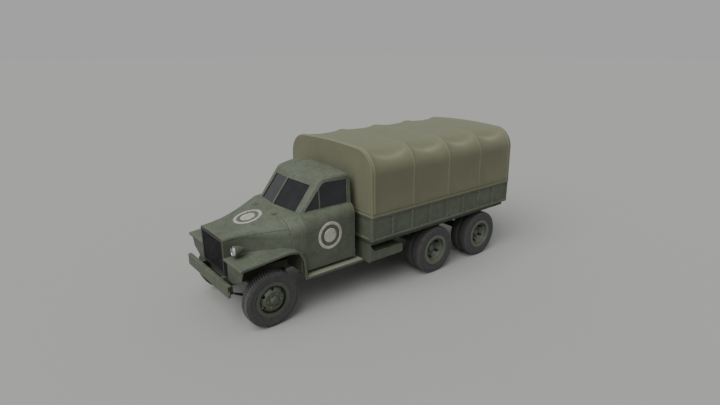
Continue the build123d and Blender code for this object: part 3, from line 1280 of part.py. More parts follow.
def make_cargo_body():
    panel_y = BODY_HALF_W - SIDE_PANEL_T - RIB_DEPTH
    gate_front_x = BODY_REAR_X + TAILGATE_T + MOVING_GAP
    side = ribbed_panel("x", BODY_REAR_X, CARGO_FRONT_X, BAYS, panel_y, 1, BODY_BOTTOM_Z, BODY_TOP_Z)
    save("cargo_sides", pair(side))
    wall_x = CARGO_FRONT_X - SIDE_PANEL_T - RIB_DEPTH
    wall = ribbed_panel("y", -panel_y, panel_y, 4, wall_x, 1, BODY_BOTTOM_Z, BODY_TOP_Z)
    save("cargo_front_wall", wall)
    save("cargo_floor", box(gate_front_x, wall_x, -panel_y, panel_y, BODY_BOTTOM_Z, CARGO_FLOOR_Z))
    # Under the floor: an outer sill on each side, and cross beams between them on two long sills.
    sill_y = panel_y - 45
    beam_low = BODY_BOTTOM_Z - BEAM_H
    outer_sill = box(gate_front_x, wall_x, sill_y - SILL_W, sill_y, BODY_BOTTOM_Z - SUB_SILL_H, BODY_BOTTOM_Z)
    long_sill = box(FRAME_REAR_X + 20, wall_x - 40, RAIL_OUT_Y - RAIL_W, RAIL_OUT_Y, RAIL_TOP_Z, beam_low)
    sills = [*pair(outer_sill).solids(), *pair(long_sill).solids()]
    save("cargo_sills", Compound(children=sills))
    beam_y = sill_y - SILL_W
    beam_pitch = (wall_x - gate_front_x - BEAM_W) / CROSS_BEAMS
    beams = []
    for number in range(CROSS_BEAMS + 1):
        x = gate_front_x + number * beam_pitch
        beams.append(box(x, x + BEAM_W, -beam_y, beam_y, beam_low, BODY_BOTTOM_Z))
    # Hinge pins of the tailgate, each between two cheeks on the rear beam.
    pieces = [beams[0]]
    for y in GATE_HINGES:
        for end in (-1, 1):
            cheek_y = y + end * (GATE_KNUCKLE_HALF_W + 6)
            low, high = GATE_HINGE_Z - GATE_CHEEK_R, BODY_BOTTOM_Z
            pieces.append(box(GATE_HINGE_X, gate_front_x + 8, cheek_y - 5, cheek_y + 5, low, high))
            eye = (GATE_HINGE_X, cheek_y - 5, GATE_HINGE_Z)
            pieces.append(rod(eye, (GATE_HINGE_X, cheek_y + 5, GATE_HINGE_Z), GATE_CHEEK_R))
        half = GATE_KNUCKLE_HALF_W + 8
        start = (GATE_HINGE_X, y - half, GATE_HINGE_Z)
        pieces.append(rod(start, (GATE_HINGE_X, y + half, GATE_HINGE_Z), GATE_PIN_R))
    save("cargo_beams", Compound(children=[fused(pieces), *beams[1:]]))
    gate_half_w = panel_y - MOVING_GAP
    gate_x = BODY_REAR_X + TAILGATE_T
    gate = ribbed_panel("y", -gate_half_w, gate_half_w, 5, gate_x, -1, BODY_BOTTOM_Z + MOVING_GAP, BODY_TOP_Z)
    knuckles = []
    bores = []
    for y in GATE_HINGES:
        start = (GATE_HINGE_X, y - GATE_KNUCKLE_HALF_W, GATE_HINGE_Z)
        stop = (GATE_HINGE_X, y + GATE_KNUCKLE_HALF_W, GATE_HINGE_Z)
        knuckles.append(rod(start, stop, GATE_KNUCKLE_R))
        low_y, high_y = y - GATE_KNUCKLE_HALF_W, y + GATE_KNUCKLE_HALF_W
        strap_top = BODY_BOTTOM_Z + MOVING_GAP + RAIL_H - 4
        knuckles.append(box(BODY_REAR_X + 1, GATE_HINGE_X, low_y, high_y, GATE_HINGE_Z, strap_top))
        bores.append(rod(start, stop, GATE_PIN_R + RUNNING_FIT))
    gate = fused([gate, *knuckles])
    for bore in bores:
        gate = gate - bore
    save("tailgate", gate)


def tilt_section(inset, x, low_z):
    """Closed arch section of the tilt at one station, drawn in by inset, down to low_z."""
    side_y_top = TILT_SIDE_Y - inset
    hem_y = TILT_HEM_Y - inset
    radius = TILT_SHOULDER_R - inset
    centre_y = TILT_SIDE_Y - TILT_SHOULDER_R
    centre_z = TILT_TOP_Z - TILT_CROWN - TILT_SHOULDER_R
    diagonal = radius * math.sqrt(0.5)
    shoulder = (centre_y, centre_z + radius)
    corner = (centre_y + diagonal, centre_z + diagonal)
    side_top = (side_y_top, centre_z)

    def at(y, z):
        return (x, y, z)

    def far(point):
        return (-point[0], point[1])

    edges = [
        Line(at(-hem_y, low_z), at(hem_y, low_z)),
        Line(at(hem_y, low_z), at(*side_top)),
        ThreePointArc(at(*side_top), at(*corner), at(*shoulder)),
        ThreePointArc(at(*shoulder), at(0, TILT_TOP_Z - inset), at(*far(shoulder))),
        ThreePointArc(at(*far(shoulder)), at(*far(corner)), at(*far(side_top))),
        Line(at(*far(side_top)), at(-hem_y, low_z)),
    ]
    return make_face(edges)


def tilt_form(inset, x0, x1, low_z):
    """Solid arch form of the tilt between two stations."""
    return extrude(tilt_section(inset, x0, low_z), amount=x1 - x0, dir=(1, 0, 0))


def bow_section(inset, x):
    """Arch of a bow: as the tilt above the sides, with legs that stand inside the body."""
    leg_y = BODY_HALF_W - SIDE_PANEL_T - RIB_DEPTH - SEAT_GAP - inset
    side_y_top = TILT_SIDE_Y - CANVAS_T - SEAT_GAP - inset
    radius = TILT_SHOULDER_R - CANVAS_T - SEAT_GAP - inset
    centre_y = TILT_SIDE_Y - TILT_SHOULDER_R
    centre_z = TILT_TOP_Z - TILT_CROWN - TILT_SHOULDER_R
    diagonal = radius * math.sqrt(0.5)
    low_z = CARGO_FLOOR_Z + SEAT_GAP
    crown_z = TILT_TOP_Z - CANVAS_T - SEAT_GAP - inset
    left = [(leg_y, low_z), (leg_y, BODY_TOP_Z), (side_y_top, centre_z)]
    corner = (centre_y + diagonal, centre_z + diagonal)
    shoulder = (centre_y, centre_z + radius)

    def at(side, point):
        return (x, side * point[0], point[1])

    edges = [Line(at(-1, left[0]), at(1, left[0]))]
    for side in (1, -1):
        edges.append(Line(at(side, left[0]), at(side, left[1])))
        edges.append(Line(at(side, left[1]), at(side, left[2])))
        edges.append(ThreePointArc(at(side, left[2]), at(side, corner), at(side, shoulder)))
    edges.append(ThreePointArc(at(1, shoulder), (x, 0, crown_z), at(-1, shoulder)))
    return make_face(edges)


def make_tilt():
    """Five bows and the canvas over them, closed at the front and open behind."""
    front_x = CARGO_FRONT_X + CANVAS_T
    rear_x = BODY_REAR_X
    outer = tilt_form(0, rear_x, front_x, TILT_HEM_Z)
    inner = tilt_form(CANVAS_T, rear_x - 50, CARGO_FRONT_X + SEAT_GAP, TILT_HEM_Z - 10)
    save("canvas_cover", outer - inner)
    bows = []
    first_x = rear_x + TAILGATE_T + MOVING_GAP + 2
    last_x = CARGO_FRONT_X - SIDE_PANEL_T - RIB_DEPTH - 2 - BOW_W
    for number in range(BOWS):
        x = first_x + number * (last_x - first_x) / (BOWS - 1)
        outside = extrude(bow_section(0, x), amount=BOW_W, dir=(1, 0, 0))
        inside = extrude(bow_section(BOW_T, x - 5), amount=BOW_W + 10, dir=(1, 0, 0))
        bows += (outside - inside).solids()
    save("tilt_bows", Compound(children=bows))


# ---------------------------------------------------------------- build and write


def main():
    make_wheels()
    make_front_axle()
    make_steering()
    make_springs_and_axles()
    make_drive_line()
    make_engine()
    make_frame()
    make_bumper()
    make_hood()
    make_grille()
    make_cab()
    make_cab_floor()
    make_steering_wheel()
    make_fenders()
    make_running_boards()
    make_side_tanks()
    make_lamps()
    make_cargo_body()
    make_tilt()
    os.makedirs("parts", exist_ok=True)
    for name, shape in PIECES.items():
        export_step(shape, f"parts/{name}.step")
    print(len(PIECES), "pieces, origin at station", -ORIGIN_SHIFT, "overall", OVERALL_L)


main()
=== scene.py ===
# %% [markdown]
# # A military cargo truck, dressed in Blender
# The truck comes in as a finished CAD assembly: every panel, axle and wheel is already in its
# place. This lesson adds what the eye needs on top of it: paint, rubber, glass and cloth, the
# tread of the tyres, the stretched canvas, the stuffed seats and the small fasteners. The CAD
# could also be remodelled from nothing, but keeping it means that each new piece can be put
# exactly where a real one would be bolted on.

# %% Load the truck
import bpy
import bmesh
import json
import math
from contextlib import contextmanager
from itertools import accumulate
from mathutils import Matrix, Vector, noise
from mathutils.bvhtree import BVHTree


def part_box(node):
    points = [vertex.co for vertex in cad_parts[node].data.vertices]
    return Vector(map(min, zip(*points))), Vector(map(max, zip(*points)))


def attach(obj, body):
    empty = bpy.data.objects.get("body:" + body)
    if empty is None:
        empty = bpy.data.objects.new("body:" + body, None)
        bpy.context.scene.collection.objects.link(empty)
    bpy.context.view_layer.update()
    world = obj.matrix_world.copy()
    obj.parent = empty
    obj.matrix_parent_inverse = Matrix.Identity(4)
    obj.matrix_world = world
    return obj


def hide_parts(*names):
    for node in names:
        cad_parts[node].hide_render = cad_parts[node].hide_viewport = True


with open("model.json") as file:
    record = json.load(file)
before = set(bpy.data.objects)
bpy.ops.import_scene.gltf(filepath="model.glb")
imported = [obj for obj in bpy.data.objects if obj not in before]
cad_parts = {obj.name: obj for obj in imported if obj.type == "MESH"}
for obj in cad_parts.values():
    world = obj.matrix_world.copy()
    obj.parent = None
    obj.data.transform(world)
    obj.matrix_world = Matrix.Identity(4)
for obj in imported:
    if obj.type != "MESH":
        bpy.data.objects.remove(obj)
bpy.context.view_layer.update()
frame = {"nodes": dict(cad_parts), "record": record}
nodes = frame["nodes"]
record = frame["record"]
bodies = record["behaviour"]["bodies"]
body_of_node = {node: body for body, members in bodies.items() for node in members}

# %% [markdown]
# ## The camera
# The truck is seen from above its left front corner. The lens is short, which makes the near
# front wheel look larger than the far ones.

# %% Camera
AIM = Vector((-0.0605, 0.0, 1.2997))
CAMERA_PLACE = Vector((5.5971, 7.0165, 4.2213))
LENS_MM = 24.445
SENSOR_MM = 36.0
FARTHEST_SEEN = 200.0


def add_object(name, data):
    """A new object in the scene."""
    thing = bpy.data.objects.new(name, data)
    bpy.context.scene.collection.objects.link(thing)
    return thing


camera_data = bpy.data.cameras.new("Camera")
camera_data.lens = LENS_MM
camera_data.sensor_width = SENSOR_MM
camera_data.clip_end = FARTHEST_SEEN
camera = add_object("Camera", camera_data)
camera.location = CAMERA_PLACE
camera.rotation_euler = (AIM - CAMERA_PLACE).to_track_quat("-Z", "Y").to_euler()
bpy.context.scene.camera = camera
print("camera distance", round((AIM - CAMERA_PLACE).length, 2), "m")

# %% [markdown]
# ## Helpers for colours and shader nodes
# Colours are picked as they look on a screen, in sRGB hex, but Blender mixes light in linear
# values, so one function converts them. Another adds a shader node with its settings and links.
# A finish is then thought of as a painter would: a ground colour, patches of a real size, and
# coats that lie over each other where the patches are.

# %% Colours and nodes
# A Mix node that is set to colours keeps them in these sockets; the others are for numbers.
MIX_WHERE, MIX_UNDER, MIX_OVER, MIX_RESULT = 0, 6, 7, 2


def linear(hex_colour):
    """sRGB hex to the linear colour that Blender's sockets expect."""
    def channel(byte):
        value = byte / 255
        return value / 12.92 if value <= 0.04045 else ((value + 0.055) / 1.055) ** 2.4

    number = int(hex_colour.lstrip("#"), 16)
    return tuple(channel((number >> shift) & 255) for shift in (16, 8, 0)) + (1.0,)


def between(first, second, share):
    """The linear colour that lies a share of the way from one hex colour to another."""
    return tuple(a + (b - a) * share for a, b in zip(linear(first), linear(second)))


def add_node(tree, kind, inputs=None, **settings):
    """Adds a node. inputs gives sockets a value, a hex colour or another node's output."""
    node = tree.nodes.new(kind)
    for name, value in settings.items():
        setattr(node, name, value)
    for socket, value in (inputs or {}).items():
        if isinstance(value, bpy.types.NodeSocket):
            tree.links.new(value, node.inputs[socket])
        else:
            value = linear(value) if isinstance(value, str) else value
            node.inputs[socket].default_value = value
    return node


def new_material(name, roughness, metallic=0.0, ior=None):
    """A material with its node tree, its shader and the object's own coordinates."""
    material = bpy.data.materials.new(name)
    material.use_nodes = True
    tree = material.node_tree
    tree.nodes.clear()
    kind = {"Roughness": roughness, "Metallic": metallic}
    shader = add_node(tree, "ShaderNodeBsdfPrincipled", kind)
    add_node(tree, "ShaderNodeOutputMaterial", {"Surface": shader.outputs[0]})
    if ior is not None:
        shader.inputs["IOR"].default_value = ior
    return material, tree, shader, add_node(tree, "ShaderNodeTexCoord").outputs["Object"]


print("olive drab in linear light:", [round(v, 3) for v in linear("5B6350")[:3]])

# %% Patterns, coats and relief
def patches(tree, place, size_mm, low=0.0, high=1.0, detail=2.0, rough=0.5, stretch=None):
    """Blotches about size_mm across, before any stretch. What is from low to high runs 0 to 1."""
    if stretch is not None:
        place = add_node(tree, "ShaderNodeMapping", {"Vector": place, "Scale": stretch}).outputs[0]
    size = {"Vector": place, "Scale": 1000.0 / size_mm, "Detail": detail, "Roughness": rough}
    spots = add_node(tree, "ShaderNodeTexNoise", size).outputs["Fac"]
    span = {"Value": spots, "From Min": low, "From Max": high}
    return add_node(tree, "ShaderNodeMapRange", span).outputs["Result"]


def rising(tree, vector, low, high):
    """0 where a place or a normal has the height low, 1 where it has the height high."""
    height = add_node(tree, "ShaderNodeSeparateXYZ", {"Vector": vector}).outputs["Z"]
    span = {"Value": height, "From Min": low, "From Max": high}
    return add_node(tree, "ShaderNodeMapRange", span).outputs["Result"]


def layered(tree, colour, coats):
    """Lays coats over a colour. A coat is patterns and strengths, which multiply, and a colour."""
    for where, *limits, coat in coats:
        for limit in limits:
            both = {0: where, 1: limit}
            where = add_node(tree, "ShaderNodeMath", both, operation="MULTIPLY").outputs[0]
        mix = {MIX_WHERE: where, MIX_UNDER: colour, MIX_OVER: coat}
        colour = add_node(tree, "ShaderNodeMix", mix, data_type="RGBA").outputs[MIX_RESULT]
    return colour


def uneven_gloss(tree, shader, pattern, smooth, rough):
    """Roughness that follows a pattern."""
    span = {"Value": pattern, "To Min": smooth, "To Max": rough}
    gloss = add_node(tree, "ShaderNodeMapRange", span).outputs["Result"]
    tree.links.new(gloss, shader.inputs["Roughness"])


def relief(tree, shader, height, depth_mm, strength, normal=None):
    """Relief of the real depth, on the surface's own normal or on a given one."""
    bump = {"Height": height, "Distance": depth_mm / 1000, "Strength": strength}
    if normal is not None:
        bump["Normal"] = normal
    bumps = add_node(tree, "ShaderNodeBump", bump)
    tree.links.new(bumps.outputs["Normal"], shader.inputs["Normal"])


def blotched(name, roughness, ground, blotches, bumps=None, **kind):
    """A ground colour with blotches, each a pattern and its colour, and with bumps, which are a
    pattern, a depth in mm and a strength. A pattern is what patches() takes after the place."""
    material, tree, shader, place = new_material(name, roughness, **kind)
    coats = [(patches(tree, place, *pattern), colour) for *pattern, colour in blotches]
    tree.links.new(layered(tree, ground, coats), shader.inputs["Base Color"])
    if bumps is not None:
        *pattern, depth_mm, strength = bumps
        relief(tree, shader, patches(tree, place, *pattern), depth_mm, strength)
    return material


print("half way from olive to sand:", [round(v, 3) for v in between("5B6350", "A3A288", 0.5)])

# %% [markdown]
# ## Painted steel
# Olive drab is a matt alkyd enamel with plenty of flattening agent, so it has hardly any gloss.
# Years of sun bleach what faces the sky, rain leaves streaks on upright panels, and dust from
# the road gathers low down. What faces the sky is also painted lighter, as painted light from
# above; corners are painted paler as rubbed paint and as painted highlights, and the running
# board as trodden paint and as painted light. One function makes every painted finish from those
# effects, because the hood, the frame and the wheels differ only in colour and in how much dirt
# they hold.

# %% Paint
# Corners are painted paler, as rubbed paint and as a painted highlight along the edges.
EDGE_WEAR_AND_HIGHLIGHT_MM = 9.0  # wider than life, so that it shows
ORANGE_PEEL_MM = 4.0  # also coarser than life
STEP_TOP, STEP_FOOT = 0.72, 0.67  # nobody treads above the first, all do below the second
DUST_FULL = 0.15  # the height at which road dust is thickest


def worn_and_lit_edges(tree, width_mm):
    """1 along outside corners, 0 on flat panels, and the softened normal of those corners."""
    flat = add_node(tree, "ShaderNodeNewGeometry").outputs["Normal"]
    soft = add_node(tree, "ShaderNodeBevel", {"Radius": width_mm / 1000}, samples=6).outputs[0]
    lean = add_node(tree, "ShaderNodeVectorMath", {0: flat, 1: soft}, operation="DOT_PRODUCT")
    span = {"Value": lean.outputs["Value"], "From Min": 0.995, "From Max": 0.92}
    return add_node(tree, "ShaderNodeMapRange", span).outputs["Result"], soft


def painted_steel(name, hue, faded_and_lit, dirt, dirt_top, roughness=0.62, chips_and_highlight=0.75, trodden_and_lit=0.0):
    """Matt enamel: hue in the shade, faded and painted lighter where it faces the sky as painted
    light from above, and dirt below dirt_top.
    """
    material, tree, shader, place = new_material(name, roughness, ior=1.48)
    cloudy = patches(tree, place, 420, 0.38, 0.66, 3.0, 0.6)
    shaded = layered(tree, hue, [(cloudy, between(hue, faded_and_lit, 0.3))])
    sunlit = layered(tree, faded_and_lit, [(cloudy, between(faded_and_lit, hue, 0.35))])
    normal = add_node(tree, "ShaderNodeNewGeometry").outputs["Normal"]
    skyward = rising(tree, normal, 0.25, 0.95)
    edges, soft_normal = worn_and_lit_edges(tree, EDGE_WEAR_AND_HIGHLIGHT_MM)
    grime = between(hue, "#20241C", 0.5)
    rain = patches(tree, place, 1000, 0.56, 0.80, 3.0, 0.6, stretch=(26.0, 26.0, 2.2))
    dusty = patches(tree, place, 90, 0.35, 0.75, 4.0, 0.65)
    edge_rub_and_highlight = patches(tree, place, 55, 0.34, 0.62, 4.0, 0.7)
    colour = layered(tree, shaded, [
        # What faces the sky is faded, and also painted lighter as painted light from above.
        (skyward, sunlit),
        # Brushed touch-ups and grime: blotches as wide as a hand, and finer ones in them.
        (patches(tree, place, 150, 0.46, 0.70, 5.0, 0.68), 0.50, grime),
        (patches(tree, place, 45, 0.46, 0.70, 5.0, 0.68), 0.42, grime),
        # Rain streaks are noise squeezed sideways and stretched along the height.
        (rain, between(hue, dirt, 0.5)),
        # Road dust is thickest at the bottom.
        (rising(tree, place, dirt_top, DUST_FULL), dusty, dirt),
        # Boots grind dust into whatever is flat and at the height of a step, and the pale tone
        # there is also painted light on the running board, which lies in shade.
        (rising(tree, place, STEP_TOP, STEP_FOOT), skyward, trodden_and_lit, "#9CA08C"),
        # Corners are painted paler: partly rubbed paint, with stone chips that show the grey
        # primer, and partly a painted highlight along the edges.
        (edges, edge_rub_and_highlight, chips_and_highlight, between(faded_and_lit, "#A3A896", 0.5)),
    ])
    tree.links.new(colour, shader.inputs["Base Color"])
    worn = patches(tree, place, 30, 0.3, 0.8)
    uneven_gloss(tree, shader, worn, roughness - 0.07, roughness + 0.09)
    relief(tree, shader, patches(tree, place, ORANGE_PEEL_MM), 0.12, 0.5, soft_normal)
    return material


finishes = {
    "body_paint": painted_steel(
        "olive_drab_enamel", "#505648", "#656D5D", "#6A6857", 0.85, chips_and_highlight=0.95, trodden_and_lit=0.9
    ),
    "chassis_paint": painted_steel(
        "chassis_black_green_enamel", "#43473A", "#4F5446", "#5C5644", 0.9, 0.66
    ),
    "wheel_paint": painted_steel(
        "wheel_olive_enamel", "#4A5045", "#555B50", "#55533F", 0.42, 0.6
    ),
    # Brushed on over rough castings, it is dull and dirty, and its top is neither faded nor painted
    # lighter.
    "engine_enamel": painted_steel(
        "engine_grey_green_enamel", "#4A5148", "#4A5148", "#2E2B26", 1.0, 0.7, 0.3
    ),
}
# The bogie's wheels are paler: dust thrown back by the front tyres, and painted light
# that lifts the shade in their deep dished discs.
dusty_and_lit_wheel_paint = painted_steel(
    "dusty_and_lit_wheel_enamel", "#5C6357", "#676E62", "#625F4C", 0.42, 0.6
)
print("painted finishes:", ", ".join(finishes))

# %% [markdown]
# ## Black parts, rubber and bare metal
# The radiator guard is stove enamelled near black. Tyre rubber is carbon black in a matt binder;
# it looks grey only because of the dust in its pores. The steering wheel is moulded hard rubber,
# which polishes where hands hold it. Small fasteners are zinc plated steel and the lamp rims are
# chromium plated, which is a true metal surface: metallic 1 and low roughness.

# %% Black enamel, rubber and metals
def tyre_rubber(name, fresh, dusty):
    """Natural rubber: dull and dark, with dust in its pores and in cloudy patches."""
    clouds = (60, 0.40, 0.72, 5.0, 0.65, dusty)
    pores = (8, 0.52, 0.8, 3.0, 0.7, between(dusty, "#57524B", 0.5))
    bumps = (2.5, 0.0, 1.0, 4.0, 0.7, 0.25, 0.7)
    return blotched(name, 0.78, fresh, [clouds, pores], bumps, ior=1.52)


def plated_steel(name, bright, dull, roughness):
    """Plated metal: the bright plating with fine dull stains."""
    stains = (12, 0.45, 0.8, 4.0, 0.7, dull)
    return blotched(name, roughness, bright, [stains], metallic=1.0)


# Stove enamel: near black with a low gloss, greyed in patches by dust.
finishes["grille_black"] = blotched(
    "radiator_black_stove_enamel", 0.48, "#2C2C2D", [(120, 0.45, 0.8, 4.0, 0.6, "#424140")],
    bumps=(3.0, 0.1, 0.4), ior=1.5,
)
finishes["tyre_rubber"] = tyre_rubber("natural_rubber_tyre", "#3A393B", "#4C4A4B")
# The grooves' rubber is darker: dirt, and painted shade in the recesses between the lugs.
shaded_groove_rubber = tyre_rubber("rubber_in_the_shaded_grooves", "#232223", "#34322F")
tread_rubber = tyre_rubber("scuffed_tread_rubber", "#4B4A4A", "#5B5958")
# Hard rubber: black, and paler with a soft shine where hands polish it.
finishes["wheel_rim_black"] = blotched(
    "moulded_hard_rubber", 0.38, "#151413", [(40, 0.4, 0.7, "#242220")], ior=1.6
)
zinc = plated_steel("zinc_plated_steel", "#8E8C84", "#5E5A50", 0.42)
chrome = plated_steel("chromium_plate", "#D5D8DA", "#A5A8AA", 0.1)
print("now", len(finishes), "finishes")

# %% [markdown]
# ## Glass
# Flat laminated glass looks dark from outside because a closed cab is dim. The panes are real
# glass with a grey body tint, so the seats can just be made out. The headlamp's lens is pressed
# glass in front of a silvered bowl; what is seen is the silver, so the lens takes a metallic
# finish under a clear coat, with upright flutes pressed into it.

# %% Glass
FLUTE_WAVES, RUBY_RIB_WAVES = 22.0, 30.0  # flutes 14 mm apart and ribs 10 mm apart


def window_glass():
    """Tinted laminated glass: dark, half clear, with a film of dust that breaks the shine."""
    material, tree, shader, place = new_material("tinted_laminated_glass", 0.09, ior=1.52)
    shader.inputs["Transmission Weight"].default_value = 0.5
    film = patches(tree, place, 160, 0.35, 0.8, 4.0, 0.6)
    tree.links.new(layered(tree, "#292B2F", [(film, "#3B3D40")]), shader.inputs["Base Color"])
    uneven_gloss(tree, shader, patches(tree, place, 45, 0.3, 0.9, 4.0, 0.6), 0.05, 0.28)
    return material


def lamp_glass():
    """Clear pressed glass over silver: a bright mirror, broken up by the flutes."""
    material, tree, shader, place = new_material("fluted_lamp_glass_over_silver", 0.16, 0.85)
    shader.inputs["Coat Weight"].default_value = 1.0
    shader.inputs["Coat Roughness"].default_value = 0.03
    shader.inputs["Base Color"].default_value = linear("#D8DCDD")
    waves = {"Vector": place, "Scale": FLUTE_WAVES}
    flutes = add_node(tree, "ShaderNodeTexWave", waves, bands_direction="Y").outputs["Fac"]
    relief(tree, shader, flutes, 1.2, 0.6)
    return material


def tail_lamp_glass():
    """Ruby glass with level ribs: deep red, brighter where a rib is thin."""
    material, tree, shader, place = new_material("ruby_lamp_glass", 0.22, ior=1.52)
    waves = {"Vector": place, "Scale": RUBY_RIB_WAVES}
    ribs = add_node(tree, "ShaderNodeTexWave", waves, bands_direction="Z").outputs["Fac"]
    tree.links.new(layered(tree, "#6E0E0C", [(ribs, "#8E1A14")]), shader.inputs["Base Color"])
    relief(tree, shader, ribs, 0.8, 0.6)
    return material


finishes["window_glass"] = window_glass()
finishes["lamp_glass"] = lamp_glass()
finishes["tail_lamp_red"] = tail_lamp_glass()
print("with glass,", len(finishes), "finishes")

# %% [markdown]
# ## Cloth and wood
# The tilt is proofed cotton duck, a plain weave of thick threads. Its pattern follows the cloth
# and not the space around it, so the material reads the piece's own UV map, laid out in metres.
# A real thread is about a millimetre, too fine to see from here, so the weave is drawn at 7 mm.
# The seats are covered in a heavier cotton canvas, and the tilt's bows are bent ash.

# %% Cloth and wood
WEAVE_MM = 7.0
SEAT_WEAVE_MM = 4.0  # coarser than life as well
WAVE_RADIANS = 20  # a wave texture of scale 1 turns this far in a metre


def weave(tree, place, pitch_mm, directions=("X", "Y")):
    """Plain weave of two sets of crossing threads, and the dark gaps between them."""
    scale = 1000.0 / pitch_mm * math.tau / WAVE_RADIANS
    waves = {"Vector": place, "Scale": scale, "Distortion": 0.6, "Detail": 1.0}
    warp, weft = (
        add_node(tree, "ShaderNodeTexWave", waves, bands_direction=direction).outputs["Fac"]
        for direction in directions
    )
    threads = add_node(tree, "ShaderNodeMath", {0: warp, 1: weft}, operation="MULTIPLY").outputs[0]
    upside_down = {"Value": threads, "From Min": 1.0, "From Max": 0.0}
    return threads, add_node(tree, "ShaderNodeMapRange", upside_down).outputs["Result"]


def cotton_duck(name, shade, sunlit, stain):
    """Proofed cotton canvas: matt, faded by the sun and painted lighter on top as painted light,
    with water marks and a faint fibre sheen.
    """
    material, tree, shader, place = new_material(name, 0.84, ior=1.45)
    uv = add_node(tree, "ShaderNodeUVMap", uv_map="cloth").outputs["UV"]
    # The fold attribute holds the painted highlight along the cloth's folds between the bows.
    fold = add_node(tree, "ShaderNodeAttribute", attribute_name="fold").outputs["Fac"]
    normal = add_node(tree, "ShaderNodeNewGeometry").outputs["Normal"]
    threads, gaps = weave(tree, uv, WEAVE_MM)
    colour = layered(tree, shade, [
        (patches(tree, place, 520, 0.36, 0.68, 4.0, 0.6), between(shade, sunlit, 0.4)),
        # What faces up takes the sunlit colour: sun fading and painted light from above.
        (rising(tree, normal, 0.0, 0.9), sunlit),
        # Water runs down the cloth, so the marks are long in the second UV direction.
        (patches(tree, uv, 1000, 0.58, 0.95, 4.0, 0.65, stretch=(16.0, 1.6, 1.0)), stain),
        # Along the fold that the cloth makes between two bows, a pale band is painted: a painted
        # highlight where the fold turns to the light.
        (fold, "#A3A288"),
        (gaps, 0.3, stain),
    ])
    tree.links.new(colour, shader.inputs["Base Color"])
    shader.inputs["Sheen Weight"].default_value = 0.06
    shader.inputs["Sheen Roughness"].default_value = 0.5
    relief(tree, shader, threads, 0.5, 0.4)
    return material


def seat_canvas():
    """Heavy cotton cover of the seats, darker and greasy where people sit."""
    material, tree, shader, place = new_material("seat_canvas", 0.8, ior=1.45)
    greasy = patches(tree, place, 180, 0.36, 0.7, 4.0, 0.6)
    threads, gaps = weave(tree, place, SEAT_WEAVE_MM, ("Y", "DIAGONAL"))
    colour = layered(tree, "#4E4C39", [(greasy, "#3A3829"), (gaps, "#2C2A20")])
    tree.links.new(colour, shader.inputs["Base Color"])
    shader.inputs["Sheen Weight"].default_value = 0.1
    relief(tree, shader, threads, 0.5, 0.5)
    return material


def ash_wood():
    """Bent ash, greyed by the weather, with long fibres along the bow."""
    material, tree, shader, place = new_material("bent_ash_wood", 0.6, ior=1.5)
    fibres = {"size_mm": 1000, "detail": 5.0, "rough": 0.6, "stretch": (40.0, 6.0, 6.0)}
    pale = patches(tree, place, low=0.35, high=0.7, **fibres)
    tree.links.new(layered(tree, "#5E5444", [(pale, "#776C58")]), shader.inputs["Base Color"])
    relief(tree, shader, patches(tree, place, **fibres), 0.3, 0.4)
    return material


finishes["canvas"] = cotton_duck("proofed_cotton_duck", "#6C6C56", "#7B7E66", "#5B5A47")
finishes["seat_cloth"] = seat_canvas()
finishes["bow_wood"] = ash_wood()
print("finishes:", len(finishes))

# %% [markdown]
# ## Finish every CAD part
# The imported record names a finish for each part, so one loop gives all of them their material.

# %% Assign the finishes
slot_of = {row["node"]: row["material_slot"] for row in record["subparts"]}
# The bogie's wheels take the paler paint, partly dust and partly painted light for their shaded
# dishes.
for name, node in nodes.items():
    node.data.materials.clear()
    on_the_bogie = slot_of[name] == "wheel_paint" and not name.startswith("front")
    node.data.materials.append(dusty_and_lit_wheel_paint if on_the_bogie else finishes[slot_of[name]])
print("parts finished:", len(slot_of))

# %% [markdown]
# ## Mesh helpers
# Most pieces below are grids of points worked out by a rule: rings round an axle, or stations
# along the canvas. One function turns such rows into a mesh and another puts a finished piece on
# its body. Every piece keeps its place in its mesh, with the object itself at the origin.

# %% Mesh helpers
SAME_POINT = 1e-5


@contextmanager
def editing(mesh):
    """Opens a mesh so that its points and faces can be changed, and closes it again."""
    shape = bmesh.new()
    shape.from_mesh(mesh)
    yield shape
    shape.to_mesh(mesh)
    shape.free()


def new_piece(name, mesh, body, slot, *materials):
    """Links a finished mesh as a piece that rides on a body of the truck."""
    mesh.name = name
    piece = add_object(name, mesh)
    for material in materials:
        mesh.materials.append(material)
    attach(piece, body)
    return piece


def circle(radius, count):
    """Evenly spaced points of a circle, as pairs."""
    angles = [math.tau * k / count for k in range(count)]
    return [(radius * math.cos(angle), radius * math.sin(angle)) for angle in angles]


def grid_mesh(rows, close_rows=False, close_columns=False, smooth=True):
    """Quads between rows of points, which may run round in either direction."""
    height, width = len(rows), len(rows[0])
    faces = []
    for i in range(height if close_rows else height - 1):
        for j in range(width if close_columns else width - 1):
            next_i, next_j = (i + 1) % height, (j + 1) % width
            corners = ((i, j), (i, next_j), (next_i, next_j), (next_i, j))
            faces.append([row * width + column for row, column in corners])
    mesh = bpy.data.meshes.new("grid")
    mesh.from_pydata([tuple(point) for row in rows for point in row], [], faces)
    mesh.polygons.foreach_set("use_smooth", [smooth] * len(faces))
    return mesh


def outward(mesh):
    """Merges doubles and turns every face outwards."""
    with editing(mesh) as shape:
        bmesh.ops.remove_doubles(shape, verts=shape.verts, dist=SAME_POINT)
        bmesh.ops.recalc_face_normals(shape, faces=shape.faces)
    return mesh


def turned(profile, steps):
    """A closed profile of radius and height pairs, turned round the Z axis."""
    turns = circle(1.0, steps)
    rows = [[(r * cosine, r * sine, z) for r, z in profile] for cosine, sine in turns]
    return outward(grid_mesh(rows, close_rows=True, close_columns=True))


